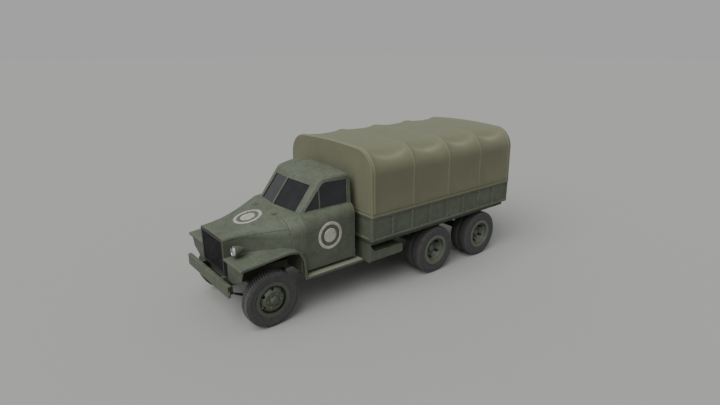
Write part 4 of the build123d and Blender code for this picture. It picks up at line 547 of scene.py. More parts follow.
def joined(meshes):
    """Several meshes as one, which starts without a list of materials."""
    shape = bmesh.new()
    for mesh in meshes:
        shape.from_mesh(mesh)
    result = bpy.data.meshes.new("joined")
    shape.to_mesh(result)
    shape.free()
    return result


def evaluated_mesh(piece):
    """The mesh that a piece's modifiers make, as a plain mesh."""
    depsgraph = bpy.context.evaluated_depsgraph_get()
    return bpy.data.meshes.new_from_object(piece.evaluated_get(depsgraph), depsgraph=depsgraph)


print("a circle of four points:", [(round(a), round(b)) for a, b in circle(1.0, 4)])

# %% [markdown]
# ## Tyres
# A cross-ply military tyre has a round shoulder, a wall with moulded ribs and heavy bar lugs in
# two staggered rows, so that it grips in both directions. The carcass is one profile turned round
# the axle. The lugs could be cut out of it, but laying one lug out again and again is how the
# mould is made, so Geometry Nodes put a lug on each point of a circle.

# %% One lug of the tread
TREAD_R, CARCASS_R = 0.463, 0.4535
LUGS_ROUND = 64
LUG_INNER, LUG_OUTER = 0.004, 0.084
LUG_WIDTH, LUG_SLANT, LUG_FLARE = 0.0245, 0.026, 0.003
LUG_BELOW_TREAD = 0.0004
BEVEL_WIDTH, BEVEL_DROP = 0.0035, 0.0015
LUG_STATIONS = [
    # share of the span, height above the foot, rise of the top, share of the width
    (0.0, 0.014, 0.0000, 0.80), (0.5, 0.014, -0.0002, 1.00),
    (0.86, 0.016, -0.0028, 1.06), (1.0, 0.026, -0.0090, 1.10),
]


def lug_mesh(side):
    """One bar lug, radial along X, round the tyre along Y and across it along Z."""
    rows = []
    for share, height, rise, swell in LUG_STATIONS:
        across = side * (LUG_INNER + share * (LUG_OUTER - LUG_INNER))
        middle = LUG_SLANT * (share - 0.5)
        half = LUG_WIDTH / 2 * swell
        top = TREAD_R - LUG_BELOW_TREAD + rise
        flank = [(height, half + LUG_FLARE), (BEVEL_DROP, half), (0.0, half - BEVEL_WIDTH)]
        row = [(top - drop, middle - reach, across) for drop, reach in flank]
        rows.append(row + [(top - drop, middle + reach, across) for drop, reach in flank[::-1]])
    mesh = grid_mesh(rows, close_columns=True, smooth=False)
    with editing(mesh) as shape:
        corners = list(shape.verts)
        for end in (corners[:len(rows[0])], corners[::-1][:len(rows[0])]):
            shape.faces.new(end)
        bmesh.ops.recalc_face_normals(shape, faces=shape.faces)
    return mesh


print("lug faces:", len(lug_mesh(1).polygons))

# %% Geometry Nodes: copies of one piece
def copying_tree(name, own_inputs, lay_out):
    """A tree that puts copies of a piece on points and gives them a material. lay_out adds the
    nodes for the points and for each copy's turn, out of the inputs that the tree is given."""
    tree = bpy.data.node_groups.new(name, "GeometryNodeTree")
    inputs = {"Geometry": "Geometry", "Piece": "Object", **own_inputs, "Material": "Material"}
    for socket, kind in inputs.items():
        tree.interface.new_socket(socket, in_out="INPUT", socket_type="NodeSocket" + kind)
    tree.interface.new_socket("Geometry", in_out="OUTPUT", socket_type="NodeSocketGeometry")
    given = add_node(tree, "NodeGroupInput").outputs
    points, turn = lay_out(tree, given)
    shown = add_node(tree, "GeometryNodeObjectInfo", {"Object": given["Piece"]})
    placing = {"Points": points, "Instance": shown.outputs["Geometry"], "Rotation": turn}
    copies = add_node(tree, "GeometryNodeInstanceOnPoints", placing)
    real = add_node(tree, "GeometryNodeRealizeInstances", {"Geometry": copies.outputs[0]})
    finish = {"Geometry": real.outputs[0], "Material": given["Material"]}
    finished = add_node(tree, "GeometryNodeSetMaterial", finish)
    add_node(tree, "NodeGroupOutput", {"Geometry": finished.outputs[0]})
    return tree


def copied(tree, piece_mesh, material, values, start_mesh=None):
    """Runs such a tree on a mesh and returns the plain mesh that comes out."""
    sample = add_object("sample", piece_mesh)
    carrier = add_object("carrier", start_mesh or bpy.data.meshes.new("start"))
    modifier = carrier.modifiers.new("nodes", "NODES")
    modifier.node_group = tree
    items = [item for item in tree.interface.items_tree if item.in_out == "INPUT"]
    identifiers = {item.name: item.identifier for item in items}
    for name, value in {"Piece": sample, "Material": material, **values}.items():
        modifier[identifiers[name]] = value
    result = evaluated_mesh(carrier)
    bpy.data.objects.remove(carrier)
    bpy.data.objects.remove(sample)
    return result


def round_the_axle(tree, given):
    """Points on the Z axis, each turned a step further. The piece itself stands off the axis."""
    points = add_node(tree, "GeometryNodePoints", {"Count": given["Count"]})
    index = add_node(tree, "GeometryNodeInputIndex").outputs["Index"]
    once_round = {0: math.tau, 1: given["Count"]}
    step = add_node(tree, "ShaderNodeMath", once_round, operation="DIVIDE").outputs[0]
    steps = {0: index, 1: step, 2: given["Start angle"]}
    angle = add_node(tree, "ShaderNodeMath", steps, operation="MULTIPLY_ADD").outputs[0]
    spin = add_node(tree, "ShaderNodeCombineXYZ", {"Z": angle})
    return points.outputs[0], spin.outputs[0]


def lug_row(side, start):
    """One of the tyre's two rows of lugs."""
    values = {"Count": LUGS_ROUND, "Start angle": start}
    return copied(LUG_RING, lug_mesh(side), finishes["tyre_rubber"], values)


LUG_RING = copying_tree("round_the_axle", {"Count": "Int", "Start angle": "Float"}, round_the_axle)
lug_rows = [lug_row(1, 0.0), lug_row(-1, math.pi / LUGS_ROUND)]
print("one row of lugs:", len(lug_rows[0].polygons), "faces")

# %% The carcass and the ten tyres
# Half of the carcass's profile, from bead to crown: radius, distance from the tyre's middle.
WALL_PROFILE = [
    (0.2515, 0.072), (0.2600, 0.0790), (0.2920, 0.0805), (0.3080, 0.0870), (0.3130, 0.0905),
    (0.3180, 0.0905), (0.3230, 0.0885), (0.3450, 0.0925), (0.3700, 0.0945), (0.3900, 0.0948),
    (0.3960, 0.0968), (0.4020, 0.0968), (0.4080, 0.0940), (0.4260, 0.0900), (0.4380, 0.0855),
    (0.4460, 0.0790), (0.4510, 0.0640), (0.4530, 0.0380), (CARCASS_R, 0.0),
]
CROWN_FROM_R = 0.441
TYRE_STEPS = 96
TYRE_WIDTH = 0.190
AXLE_HEIGHT = 0.463
ALONG_Y = Matrix.Rotation(math.radians(-90), 4, "X")


def moulded_tyre():
    """One whole tyre about the Z axis: the carcass and its two rows of lugs."""
    far_wall = [(radius, -across) for radius, across in WALL_PROFILE[-2::-1]]
    carcass = turned(WALL_PROFILE + far_wall, TYRE_STEPS)
    # The crown between the lugs takes the second material, darker: dirt packed into the
    # grooves and painted shade in them.
    for face in carcass.polygons:
        if math.hypot(face.center.x, face.center.y) > CROWN_FROM_R:
            face.material_index = 1
    for row in lug_rows:
        row.polygons.foreach_set("material_index", [2] * len(row.polygons))
    return joined([carcass, *lug_rows])


def place_tyres(node, body):
    """Stands the moulded tyre where each solid of the CAD node is."""
    low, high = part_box(node)
    centres = [low.y + TYRE_WIDTH / 2]
    if high.y - low.y > 1.5 * TYRE_WIDTH:  # a pair of tyres
        centres.append(high.y - TYRE_WIDTH / 2)
    parts = []
    for y in centres:
        parts.append(whole_tyre.copy())
        place = Matrix.Translation(((low.x + high.x) / 2, y, AXLE_HEIGHT))
        parts[-1].transform(place @ ALONG_Y)
    rubber = finishes["tyre_rubber"], shaded_groove_rubber, tread_rubber
    tyre = new_piece(node + "_moulded", joined(parts), body, "tyre_rubber", *rubber)
    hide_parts(node)
    return tyre


whole_tyre = moulded_tyre()
tyres = [place_tyres(name, body_of_node[name]) for name in sorted(nodes) if "_tyre" in name]
print("tyres:", len(tyres), "faces in a pair:", len(tyres[-1].data.polygons))

# %% [markdown]
# ## The canvas tilt
# The tilt is one sheet of duck pulled over five bows and sewn to a front curtain. It lies tight on
# each bow and hangs in a hollow between two of them, deepest at the shoulder, where the pull along
# the truck and the pull over the arch don't help each other. It could be draped by cloth
# simulation, but a stretched sheet on fixed hoops takes a shape that a short formula gives exactly:
# the arch of the bow, minus a sag that grows towards each bay's middle. Small noise adds the slack
# that no lashing takes out.

# %% The arch of the tilt
tilt_low, tilt_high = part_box("canvas_cover")
bows_low, bows_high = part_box("tilt_bows")
BOWS, BOW_WIDTH = 5, 0.040
HEM_Y, SHOULDER_Y, SHOULDER_R = 1.241, 1.224, 0.412
CROWN_RISE = 0.028
CLOTH_T = 0.004
INSIDE_SHELL = 0.0046  # the cloth lies this far inside the CAD shell and so rests on the bows
SIDE_STEPS, SHOULDER_STEPS, CROWN_STEPS = 18, 26, 16
BAY = (bows_high.x - bows_low.x - BOW_WIDTH) / (BOWS - 1)
bow_stations = [bows_low.x + BOW_WIDTH / 2 + k * BAY for k in range(BOWS)]
side_top = tilt_high.z - CROWN_RISE - SHOULDER_R
crown_y = SHOULDER_Y - SHOULDER_R


def half_arch():
    """From the left hem to the crown: y, z and turn. The turn is an address: -60 at the hem, 0 to
    90 degrees round the shoulder, 150 at the crown."""
    points = []
    for share in (k / SIDE_STEPS for k in range(SIDE_STEPS)):
        y = HEM_Y + (SHOULDER_Y - HEM_Y) * share
        points.append((y, tilt_low.z + (side_top - tilt_low.z) * share, -60 * (1 - share)))
    for angle in (math.pi / 2 * k / SHOULDER_STEPS for k in range(SHOULDER_STEPS)):
        y = crown_y + SHOULDER_R * math.cos(angle)
        points.append((y, side_top + SHOULDER_R * math.sin(angle), math.degrees(angle)))
    for share in (k / CROWN_STEPS for k in range(CROWN_STEPS + 1)):
        z = side_top + SHOULDER_R + CROWN_RISE * (1 - (1 - share) ** 2)
        points.append((crown_y * (1 - share), z, 90 + 60 * share))
    return points


def run_along(line):
    """How far each point of a line lies from its start."""
    return [0.0, *accumulate(math.dist(a, b) for a, b in zip(line, line[1:]))]


def beside(line, side):
    """Unit vectors at right angles to a flat line: to its left for 1, to its right for -1."""
    found = []
    for (a0, b0), (a1, b1) in zip(line[:1] + line[:-1], line[1:] + line[-1:]):
        length = math.hypot(a1 - a0, b1 - b0)
        found.append((-side * (b1 - b0) / length, side * (a1 - a0) / length))
    return found


left_arch = half_arch()
arch = left_arch + [(-y, z, turn) for y, z, turn in left_arch[-2::-1]]
arch_line = [(y, z) for y, z, _ in arch]
arch_run = run_along(arch_line)
arch_normals = beside(arch_line, -1)
print("cloth over the arch:", round(arch_run[-1], 3), "m in", len(arch), "points")

# %% Sag between the bows
RIDGE_SHARPNESS = 0.65  # 1 would leave a bow in a soft sine
SIDE_HOLLOW, SHOULDER_HOLLOW, CROWN_HOLLOW = 0.018, 0.046, 0.024
SHOULDER_TURN, SHOULDER_SPREAD = 52, 25
HEM_HOLDS = 0.12  # the cloth is free from this height above its foot
SLACK_DEPTH, CREASE_DEPTH = 0.0035, 0.0025
SLACK_BY_BOW = 0.25  # a bow leaves the cloth this share of its slack
# The strength of the painted highlight along the fold between two bows.
FOLD_HIGHLIGHT = 0.62
FOLD_TURN_BY_BOW, FOLD_DROP, FOLD_SPREAD = 62, 22, 8


def uneven(depth, *place):
    """Smooth noise of the given depth."""
    return depth * noise.noise(Vector(place))


def bay_share(x):
    """0 on a bow, 1 in the middle of a bay. The cloth leaves a bow at once, in a ridge."""
    if x <= bow_stations[0] or x >= bow_stations[-1]:
        return 0.0
    along = (x - bow_stations[0]) % BAY
    if min(along, BAY - along) < BOW_WIDTH / 2:
        return 0.0
    return math.sin(math.pi * (along - BOW_WIDTH / 2) / (BAY - BOW_WIDTH)) ** RIDGE_SHARPNESS


def hollow(turn):
    """Depth of the hollow in the middle of a bay, in metres."""
    side = SIDE_HOLLOW * math.sin(math.pi * (turn + 60) / 60) if turn < 0 else 0.0
    shoulder = SHOULDER_HOLLOW * math.exp(-(((turn - SHOULDER_TURN) / SHOULDER_SPREAD) ** 2))
    # The crown's hollow comes in smoothly between 30 and 90 degrees of the shoulder.
    rise = min(1.0, max(0.0, (turn - 30) / 60))
    return side + shoulder + CROWN_HOLLOW * rise * rise * (3 - 2 * rise)


def sag(x, k):
    """How far the cloth lies inside the arch at a station and a point of the arch."""
    y, z, turn = arch[k]
    share = bay_share(x)
    held = min(1.0, (z - tilt_low.z) / HEM_HOLDS)
    slack = uneven(SLACK_DEPTH, x * 2.3, y * 2.3, z * 2.3)
    creases = uneven(CREASE_DEPTH, x * 7.0, 3.0, z * 1.1)
    loose = (SLACK_BY_BOW + (1 - SLACK_BY_BOW) * share) * held
    return hollow(turn) * share + (slack + creases) * loose


def fold_highlight_at(x, k):
    """How strongly the painted highlight lies on a point of the fold between two bows, from 0 to 1.
    """
    share = bay_share(x)
    off_fold = (arch[k][2] - (FOLD_TURN_BY_BOW - FOLD_DROP * share)) / FOLD_SPREAD
    broken = 0.75 + uneven(0.5, x * 3.0, 0.0, 7.0)
    return FOLD_HIGHLIGHT * share * math.exp(-off_fold * off_fold) * broken


def cloth_row(x, lift=0.0):
    """The cloth's outside at one station, from hem to hem, raised by lift."""
    row = []
    for k, ((y, z), (ny, nz)) in enumerate(zip(arch_line, arch_normals)):
        inside = INSIDE_SHELL + max(sag(x, k), 0.0) - lift
        row.append(Vector((x, y - ny * inside, z - nz * inside)))
    return row


deepest = max(sag(bow_stations[3] + BAY / 2, k) for k in range(len(arch)))
print("deepest hollow:", round(deepest * 1000), "mm")

# %% The sheet itself, with its front curtain
STATIONS, EDGE_STEPS, CURTAIN_STEPS = 170, 5, 44
EDGE_R = 0.020
CURTAIN_INSIDE = 0.002
CURTAIN_HOLLOW, CURTAIN_SLACK, CURTAIN_CREASES = 0.008, 0.010, 0.004
# The curtain is free from this share of its width inwards and this far below the crown.
CURTAIN_SIDE_SEAM, CURTAIN_TOP_SEAM = 1 / 8, 0.2
WELD = 1e-4


def unwrapped(mesh, uv_rows):
    """Gives a grid's mesh its UV map in metres, from one pair for each vertex."""
    flat = [pair for row in uv_rows for pair in row]
    layer = mesh.uv_layers.new(name="cloth")
    for loop in mesh.loops:
        layer.data[loop.index].uv = flat[loop.vertex_index]
    return mesh


def arch_sheet(rear_x, front_x):
    """The cloth over the bows and round the front edge."""
    edge_x = front_x - EDGE_R
    stations = [rear_x + (edge_x - rear_x) * i / STATIONS for i in range(STATIONS + 1)]
    rows = [cloth_row(x) for x in stations]
    uv_rows = [[(x, run) for run in arch_run] for x in stations]
    fold_highlights = [fold_highlight_at(x, k) for x in stations for k in range(len(arch))]
    for i in range(1, EDGE_STEPS + 1):
        angle = math.pi / 2 * i / EDGE_STEPS
        x = edge_x + EDGE_R * math.sin(angle)
        rows.append(cloth_row(x, -EDGE_R * (1 - math.cos(angle))))
        # The cloth runs round the edge faster than x does.
        uv_rows.append([(x + 0.005 * i, run) for run in arch_run])
    mesh = unwrapped(grid_mesh(rows), uv_rows)
    fold_highlights += [0.0] * (len(mesh.vertices) - len(fold_highlights))
    mesh.attributes.new("fold", "FLOAT", "POINT").data.foreach_set("value", fold_highlights)
    return mesh, rows[-1]


def curtain_sheet(rim, front_x):
    """The front curtain, in level rows from each point of the rim to the one across from it."""
    rows = []
    for left, right in zip(rim[:len(left_arch)], rim[::-1]):
        row = []
        for i in range(CURTAIN_STEPS + 1):
            _, y, z = left.lerp(right, i / CURTAIN_STEPS)
            from_side = min(i, CURTAIN_STEPS - i) / CURTAIN_STEPS
            below_top = tilt_high.z - z
            free = min(1.0, from_side / CURTAIN_SIDE_SEAM) * min(1.0, below_top / CURTAIN_TOP_SEAM)
            slack = uneven(CURTAIN_SLACK, y * 1.5, z * 0.8, 9.0)
            creases = uneven(CURTAIN_CREASES, y * 6.0, z * 0.9, 4.0)
            inside = free * max(0.0, CURTAIN_HOLLOW + slack + creases)
            row.append(Vector((front_x - inside, y, z)))
        rows.append(row)
    return unwrapped(grid_mesh(rows), [[(p.y, p.z) for p in row] for row in rows])


def tilt_sheet():
    """Arch, front edge and curtain merged into one sheet, its outside outwards."""
    front_x = tilt_high.x - CURTAIN_INSIDE
    over_bows, rim = arch_sheet(tilt_low.x, front_x)
    mesh = joined([over_bows, curtain_sheet(rim, front_x)])
    with editing(mesh) as shape:
        bmesh.ops.remove_doubles(shape, verts=shape.verts, dist=WELD)
        bmesh.ops.dissolve_degenerate(shape, dist=SAME_POINT, edges=shape.edges)
        bmesh.ops.recalc_face_normals(shape, faces=shape.faces)
        top = max(shape.faces, key=lambda face: face.calc_center_median().z)
        if top.normal.z < 0:
            bmesh.ops.reverse_faces(shape, faces=shape.faces)
    return mesh


sheet_mesh = tilt_sheet()
tilt = new_piece("tilt_cover", sheet_mesh, "chassis", "canvas", finishes["canvas"])
thick = tilt.modifiers.new("cloth_thickness", "SOLIDIFY")
thick.thickness = CLOTH_T
thick.offset = -1.0
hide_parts("canvas_cover")

# %% [markdown]
# ## Seams, hem and stitches
# Widths of duck are joined by a flat felled seam, which lies over each bow because the cloth is
# doubled there and wears less. The bottom edge is turned up over a rope into a stiff hem band.
# Both are strips that follow the sheet a little outside it, so they come from the same formula
# with more lift. The stitches are one small shape repeated along a line, which is work for
# Geometry Nodes: the line is resampled, and each copy turns along its tangent. Real stitches are
# 5 mm long and can't be seen from here, so these are 20 mm long.

# %% Felled seams and the hem band
SEAM_W = 0.052
SEAM_PROFILE = [
    # place across the seam as a share of its width, lift above the cloth
    (-0.5, -0.003), (-0.45, 0.0022), (-0.12, 0.0036), (0.12, 0.0036), (0.45, 0.0022), (0.5, -0.003),
]
HEM_FOOT, HEM_TOP = tilt_low.z + 0.001, 1.556
HEM_T, HEM_ROLL = 0.0042, 0.0072
HEM_SUNK, HEM_LEAN, HEM_RIPPLE = 0.0052, 0.0012, 0.0012
HEM_REAR_X, HEM_FRONT_X, HEM_SIDE_Y = tilt_low.x + 0.002, tilt_high.x - 0.001, HEM_Y - 0.0005
HEM_CORNER_R, HEM_WIDTH = 0.022, 0.09
HEM_SIDE_STEPS, HEM_CORNER_STEPS, HALF_FRONT_STEPS = 60, 6, 20
HEM_LEVELS = [
    # height above the hem's foot as a share, how far it stands out
    (0.0, 0.0), (0.0, HEM_T), (0.05, HEM_ROLL), (0.14, HEM_ROLL), (0.19, HEM_T),
    (0.80, HEM_T), (0.86, HEM_ROLL), (0.96, HEM_ROLL), (1.0, HEM_T), (1.0, 0.0),
]


def seam_strip(x):
    """A raised strip of doubled cloth over one bow."""
    x = min(max(x, tilt_low.x + SEAM_W / 2), tilt_high.x - EDGE_R - SEAM_W / 2)
    rows = [cloth_row(x + share * SEAM_W, lift) for share, lift in SEAM_PROFILE]
    uv_rows = [[(share * SEAM_W, run) for run in arch_run] for share, _ in SEAM_PROFILE]
    return unwrapped(grid_mesh(rows), uv_rows)


def hem_path():
    """The hem's line seen from above: left side, front, right side."""
    corner_x, corner_y = HEM_FRONT_X - HEM_CORNER_R, HEM_SIDE_Y - HEM_CORNER_R
    step = (corner_x - HEM_REAR_X) / HEM_SIDE_STEPS
    half = [(HEM_REAR_X + step * i, HEM_SIDE_Y) for i in range(HEM_SIDE_STEPS + 1)]
    quarter = circle(HEM_CORNER_R, 4 * HEM_CORNER_STEPS)[1:HEM_CORNER_STEPS]
    half += [(corner_x + b, corner_y + a) for a, b in quarter]
    front = [corner_y * (1 - i / HALF_FRONT_STEPS) for i in range(HALF_FRONT_STEPS + 1)]
    half += [(HEM_FRONT_X, y) for y in front]
    return half + [(x, -y) for x, y in half[-2::-1]]


def hem_rows(levels):
    """Points of the hem at each station of its path."""
    rows = []
    for (x, y), (nx, ny), run in zip(hem_line, beside(hem_line, 1), hem_run):
        ripple = uneven(HEM_RIPPLE, run * 5.0, 0.0, 4.0) - HEM_SUNK
        row = []
        for share, out in levels:
            reach = ripple + out - HEM_LEAN * share
            z = HEM_FOOT + share * (HEM_TOP - HEM_FOOT)
            row.append(Vector((x + nx * reach, y + ny * reach, z)))
        rows.append(row)
    return rows


hem_line = hem_path()
hem_run = run_along(hem_line)
hem_uv = [[(run, share * HEM_WIDTH) for share, _ in HEM_LEVELS] for run in hem_run]
hem_mesh = outward(unwrapped(grid_mesh(hem_rows(HEM_LEVELS)), hem_uv))
seam_mesh = joined([seam_strip(x) for x in bow_stations])
print("seams:", BOWS, "hem:", round(hem_run[-1], 2), "m long")

# %% Geometry Nodes: stitches along a line
STITCH_L, STITCH_W, STITCH_PITCH = 0.020, 0.0042, 0.030
STITCH_PROFILE = [(-0.5, 0.25), (-0.3, 0.9), (0.3, 0.9), (0.5, 0.25)]
STITCH_SIDES = 5
HEM_SEWN_AT = (0.10, 0.91)  # shares of the hem's height
SEAM_SEWN_AT = (-0.3, 0.3)  # shares of the seam's width
ON_THE_HEM, ON_THE_SEAM = HEM_T + 0.0034, 0.0028


def stitch_mesh():
    """One stitch along X, with pinched ends."""
    rows = []
    for share, swell in STITCH_PROFILE:
        section = circle(STITCH_W / 2 * swell, STITCH_SIDES)
        rows.append([(share * STITCH_L, y, z) for y, z in section])
    mesh = grid_mesh(rows, close_columns=True)
    with editing(mesh) as shape:
        bmesh.ops.holes_fill(shape, edges=shape.edges)
        bmesh.ops.recalc_face_normals(shape, faces=shape.faces)
    return mesh


def along_a_line(tree, given):
    """Points at every pitch along the edges of a mesh, each turned to run with the line."""
    line = add_node(tree, "GeometryNodeMeshToCurve", {"Mesh": given["Geometry"]})
    spacing = {"Curve": line.outputs[0], "Length": given["Pitch"]}
    points = add_node(tree, "GeometryNodeResampleCurve", spacing, mode="LENGTH")
    tangent = add_node(tree, "GeometryNodeInputTangent").outputs[0]
    turn = add_node(tree, "FunctionNodeAlignRotationToVector", {"Vector": tangent}, axis="X")
    return points.outputs[0], turn.outputs[0]


def line_mesh(lines):
    """Open lines of points as a mesh of edges. A line of one point is a lone vertex."""
    points, edges = [], []
    for line in lines:
        edges += [(len(points) + i, len(points) + i + 1) for i in range(len(line) - 1)]
        points += [tuple(p) for p in line]
    mesh = bpy.data.meshes.new("lines")
    mesh.from_pydata(points, edges, [])
    return mesh


# Waxed cotton thread, weathered to the tone of the cloth.
thread = blotched(
    "waxed_cotton_thread", 0.7, "#6B6A55", [(200, 0.35, 0.7, 3.0, "#56553F")], ior=1.45
)
stitch_lines = [[row[0] for row in hem_rows([(level, ON_THE_HEM)])] for level in HEM_SEWN_AT]
for x in bow_stations[1:-1]:
    for share in SEAM_SEWN_AT:
        stitch_lines.append(cloth_row(x + share * SEAM_W, ON_THE_SEAM)[2:-2])
stitching = copying_tree("stitches_along_a_line", {"Pitch": "Float"}, along_a_line)
pitch = {"Pitch": STITCH_PITCH}
stitches = copied(stitching, stitch_mesh(), thread, pitch, line_mesh(stitch_lines))
print("stitch faces:", len(stitches.polygons))

# %% Place seams, hem and stitches, and say what the cloth is
# The seams' duck is paler than the sheet: a painted highlight along the ridges over the bows.
highlighted_seam_finish = cotton_duck("felled_seam_duck", "#747460", "#85886F", "#626150")
seams = new_piece("tilt_seams", seam_mesh, "chassis", "canvas", highlighted_seam_finish)
hem_finish = cotton_duck("doubled_duck_hem", "#686751", "#757660", "#55533F")
hem = new_piece("tilt_hem", hem_mesh, "chassis", "canvas", hem_finish)
sewing = new_piece("tilt_stitches", stitches, "chassis", "canvas")
print("hem faces:", len(hem.data.polygons))

# %% [markdown]
# ## Recognition marks
# A plain off-white ring with a disc in it is brushed on the hood and on both doors, so that
# aircrews can tell whose column it is. It isn't a raised badge but a film of paint. A picture
# could be laid on the panels, but a thin shell that is dropped onto the panel's own surface
# follows every curve of it and moves with it when the hood or the door opens.

# %% Marks laid on the panels
MARK_LIFT, MARK_SUNK = 0.0011, -0.001
MARK_STEPS = 72
MARK_R, RING_INSIDE, DISC_OUTSIDE = 0.235, 0.78, 0.52
DROP_FROM = 0.4
ACROSS, FORWARD, UP = Vector((0, 1, 0)), Vector((1, 0, 0)), Vector((0, 0, 1))
MARK_PLACES = {
    # node: centre, across, up
    "hood": (Vector((2.30, 0.0, 1.55)), FORWARD, ACROSS),
    "door_left": (Vector((1.30, 0.80, 1.245)), -FORWARD, UP),
    "door_right": (Vector((1.30, -0.80, 1.245)), FORWARD, UP),
}


def laid_on(panel, centre, across, up, outer, inner, steps):
    """A thin ring or disc, dropped onto a panel along across x up."""
    mesh = panel.data
    faces = [polygon.vertices for polygon in mesh.polygons]
    surface = BVHTree.FromPolygons([vertex.co for vertex in mesh.vertices], faces)
    out = across.cross(up).normalized()

    def drop(radius, lift):
        row = []
        for a, b in circle(radius, MARK_STEPS):
            start = centre + across * a + up * b + out * DROP_FROM
            place, normal, _, _ = surface.ray_cast(start, -out)
            row.append(place + normal * (lift if normal.dot(out) > 0 else -lift))
        return row

    radii = [outer + (inner - outer) * k / steps for k in range(steps + 1)]
    rows = [drop(outer, MARK_SUNK)] + [drop(radius, MARK_LIFT) for radius in radii]
    if inner > 0.0:
        rows.append(drop(inner, MARK_SUNK))
    return grid_mesh(rows, close_columns=True)


# Brushed distemper, chalky and rubbed through to the olive on high spots.
mark_finish = blotched(
    "chalky_white_marking_paint", 0.8, "#BBB7AE",
    [(160, 0.35, 0.75, 4.0, 0.6, "#9C988F"), (38, 0.54, 0.66, 6.0, 0.75, "#5C6153")],
    bumps=(6.0, 0.15, 0.5), ior=1.48,
)
for node, directions in MARK_PLACES.items():
    ring = laid_on(nodes[node], *directions, MARK_R, MARK_R * RING_INSIDE, 4)
    disc = laid_on(nodes[node], *directions, MARK_R * DISC_OUTSIDE, 0.0, 6)
    mark = outward(joined([ring, disc]))
    new_piece(node + "_mark", mark, body_of_node[node], "body_paint", mark_finish)
print("marks:", ", ".join(MARK_PLACES))

# %% [markdown]
# ## The bench seat
# The cab has one wide cushion and one wide back, springs and horsehair under a canvas cover. A
# cushion is a closed bag that swells: its faces crown and its edges pull in. Cloth simulation with
# pressure from inside gives that. The upright sewn channels come afterwards, because the remesh
# before the simulation would wipe them out.

# %% Stuffed cushions
CUSHION_VOXEL = 0.013
SWELL_LIMIT = 0.010
STUFFING_PRESSURE, SETTLING_FRAMES = 4.0, 20
CHANNELS = 7
CHANNEL_DEPTH, CHANNEL_WIDTH, PLAIN_BORDER = 0.014, 0.012, 0.05
FACING_OUT = 0.2


def shrunk_copy(node, inset):
    """A merged copy of a CAD solid, smaller by inset on every side."""
    low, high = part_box(node)
    middle = (low + high) / 2
    mesh = joined([nodes[node].data])
    with editing(mesh) as shape:
        bmesh.ops.remove_doubles(shape, verts=shape.verts, dist=SAME_POINT)
        for vertex in shape.verts:
            for axis in range(3):
                span = high[axis] - low[axis]
                off = vertex.co[axis] - middle[axis]
                vertex.co[axis] = middle[axis] + off * (span - 2 * inset) / span
    return mesh


def stuffed(node):
    """Remeshes the bag, blows it up as cloth and holds every point within SWELL_LIMIT."""
    bag = add_object(node + "_stuffed", shrunk_copy(node, SWELL_LIMIT))
    remesh = bag.modifiers.new("even_quads", "REMESH")
    remesh.mode = "VOXEL"
    remesh.voxel_size = CUSHION_VOXEL
    mesh = evaluated_mesh(bag)
    bag.modifiers.clear()
    bag.data = mesh
    cloth = bag.modifiers.new("stuffing", "CLOTH")
    cloth.settings.use_pressure = True
    cloth.settings.uniform_pressure_force = STUFFING_PRESSURE
    cloth.settings.effector_weights.gravity = 0.0
    for frame_number in range(1, SETTLING_FRAMES + 1):
        bpy.context.scene.frame_set(frame_number)
    swollen = evaluated_mesh(bag)
    bag.modifiers.clear()
    for vertex, moved in zip(mesh.vertices, swollen.vertices):
        shift = moved.co - vertex.co
        vertex.co += shift * min(1.0, SWELL_LIMIT / max(shift.length, 1e-9))
    bpy.context.scene.frame_set(1)
    return bag


def sew_channels(bag, node, axis):
    """Presses upright grooves into the side that people sit on or lean against."""
    low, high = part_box(node)
    pitch = (high.y - low.y) / CHANNELS
    for vertex in bag.data.vertices:
        across = vertex.co.y - low.y
        facing = vertex.normal[axis]
        to_seam = abs(across / pitch - round(across / pitch)) * pitch
        if facing > FACING_OUT and PLAIN_BORDER < across < high.y - low.y - PLAIN_BORDER:
            depth = CHANNEL_DEPTH * math.exp(-((to_seam / CHANNEL_WIDTH) ** 2))
            vertex.co[axis] -= facing * depth


# The cushion is sewn on its top, across Z, and the back on its front, across X.
for node, axis in (("seat_cushion", 2), ("seat_back", 0)):
    bag = stuffed(node)
    sew_channels(bag, node, axis)
    bag.data.materials.append(finishes["seat_cloth"])
    bag.data.polygons.foreach_set("use_smooth", [True] * len(bag.data.polygons))
    finer = bag.modifiers.new("finer", "SUBSURF")
    finer.levels = finer.render_levels = 1
    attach(bag, body_of_node[node])
    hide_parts(node)
    print(node, "faces:", len(bag.data.polygons))

# %% [markdown]
# ## Rivets, bolts and lamp rims
# The ribs of the cargo body are riveted to its rails, and the bumper is bolted to the frame
# horns. Both take one domed head repeated at listed places, so Geometry Nodes put a copy on each
# point, turned to face out of its panel. The lamp's rim is a rolled brass ring, chromium plated,
# and comes from a small circle turned about the lamp's axis.

# %% Geometry Nodes: fasteners on points
RIBS, RIB_HALF = 9, 0.020
RIVET_R, RIVET_RISE = 0.0075, 0.004
RIVET_OFFSETS, RIVET_HEIGHTS = (-0.009, 0.009), (1.064, 1.118, 1.40, 1.452)
RIVET_SUNK = 0.001
BOLT_R, BOLT_RISE = 0.014, 0.006
BOLT_YS, BOLT_HEIGHTS = (-0.45, -0.39, 0.39, 0.45), (0.70, 0.76)
BOLT_SUNK = 0.0005
DOME_PROFILE = [(1.0, -0.15), (1.0, 0.25), (0.86, 0.62), (0.5, 0.94), (0.0, 1.0)]
DOME_SIDES = 10


def dome_mesh(radius, rise):
    """A round head that stands on the XY plane and faces along Z."""
    rows = []
    for share, height in DOME_PROFILE:
        rows.append([(x, y, rise * height) for x, y in circle(radius * share, DOME_SIDES)])
    return outward(grid_mesh(rows, close_columns=True))


def facing_one_way(tree, given):
    """The vertices of a mesh, with every copy turned to face the same way."""
    way = {"Vector": given["Facing"]}
    turn = add_node(tree, "FunctionNodeAlignRotationToVector", way, axis="Z")
    return given["Geometry"], turn.outputs[0]


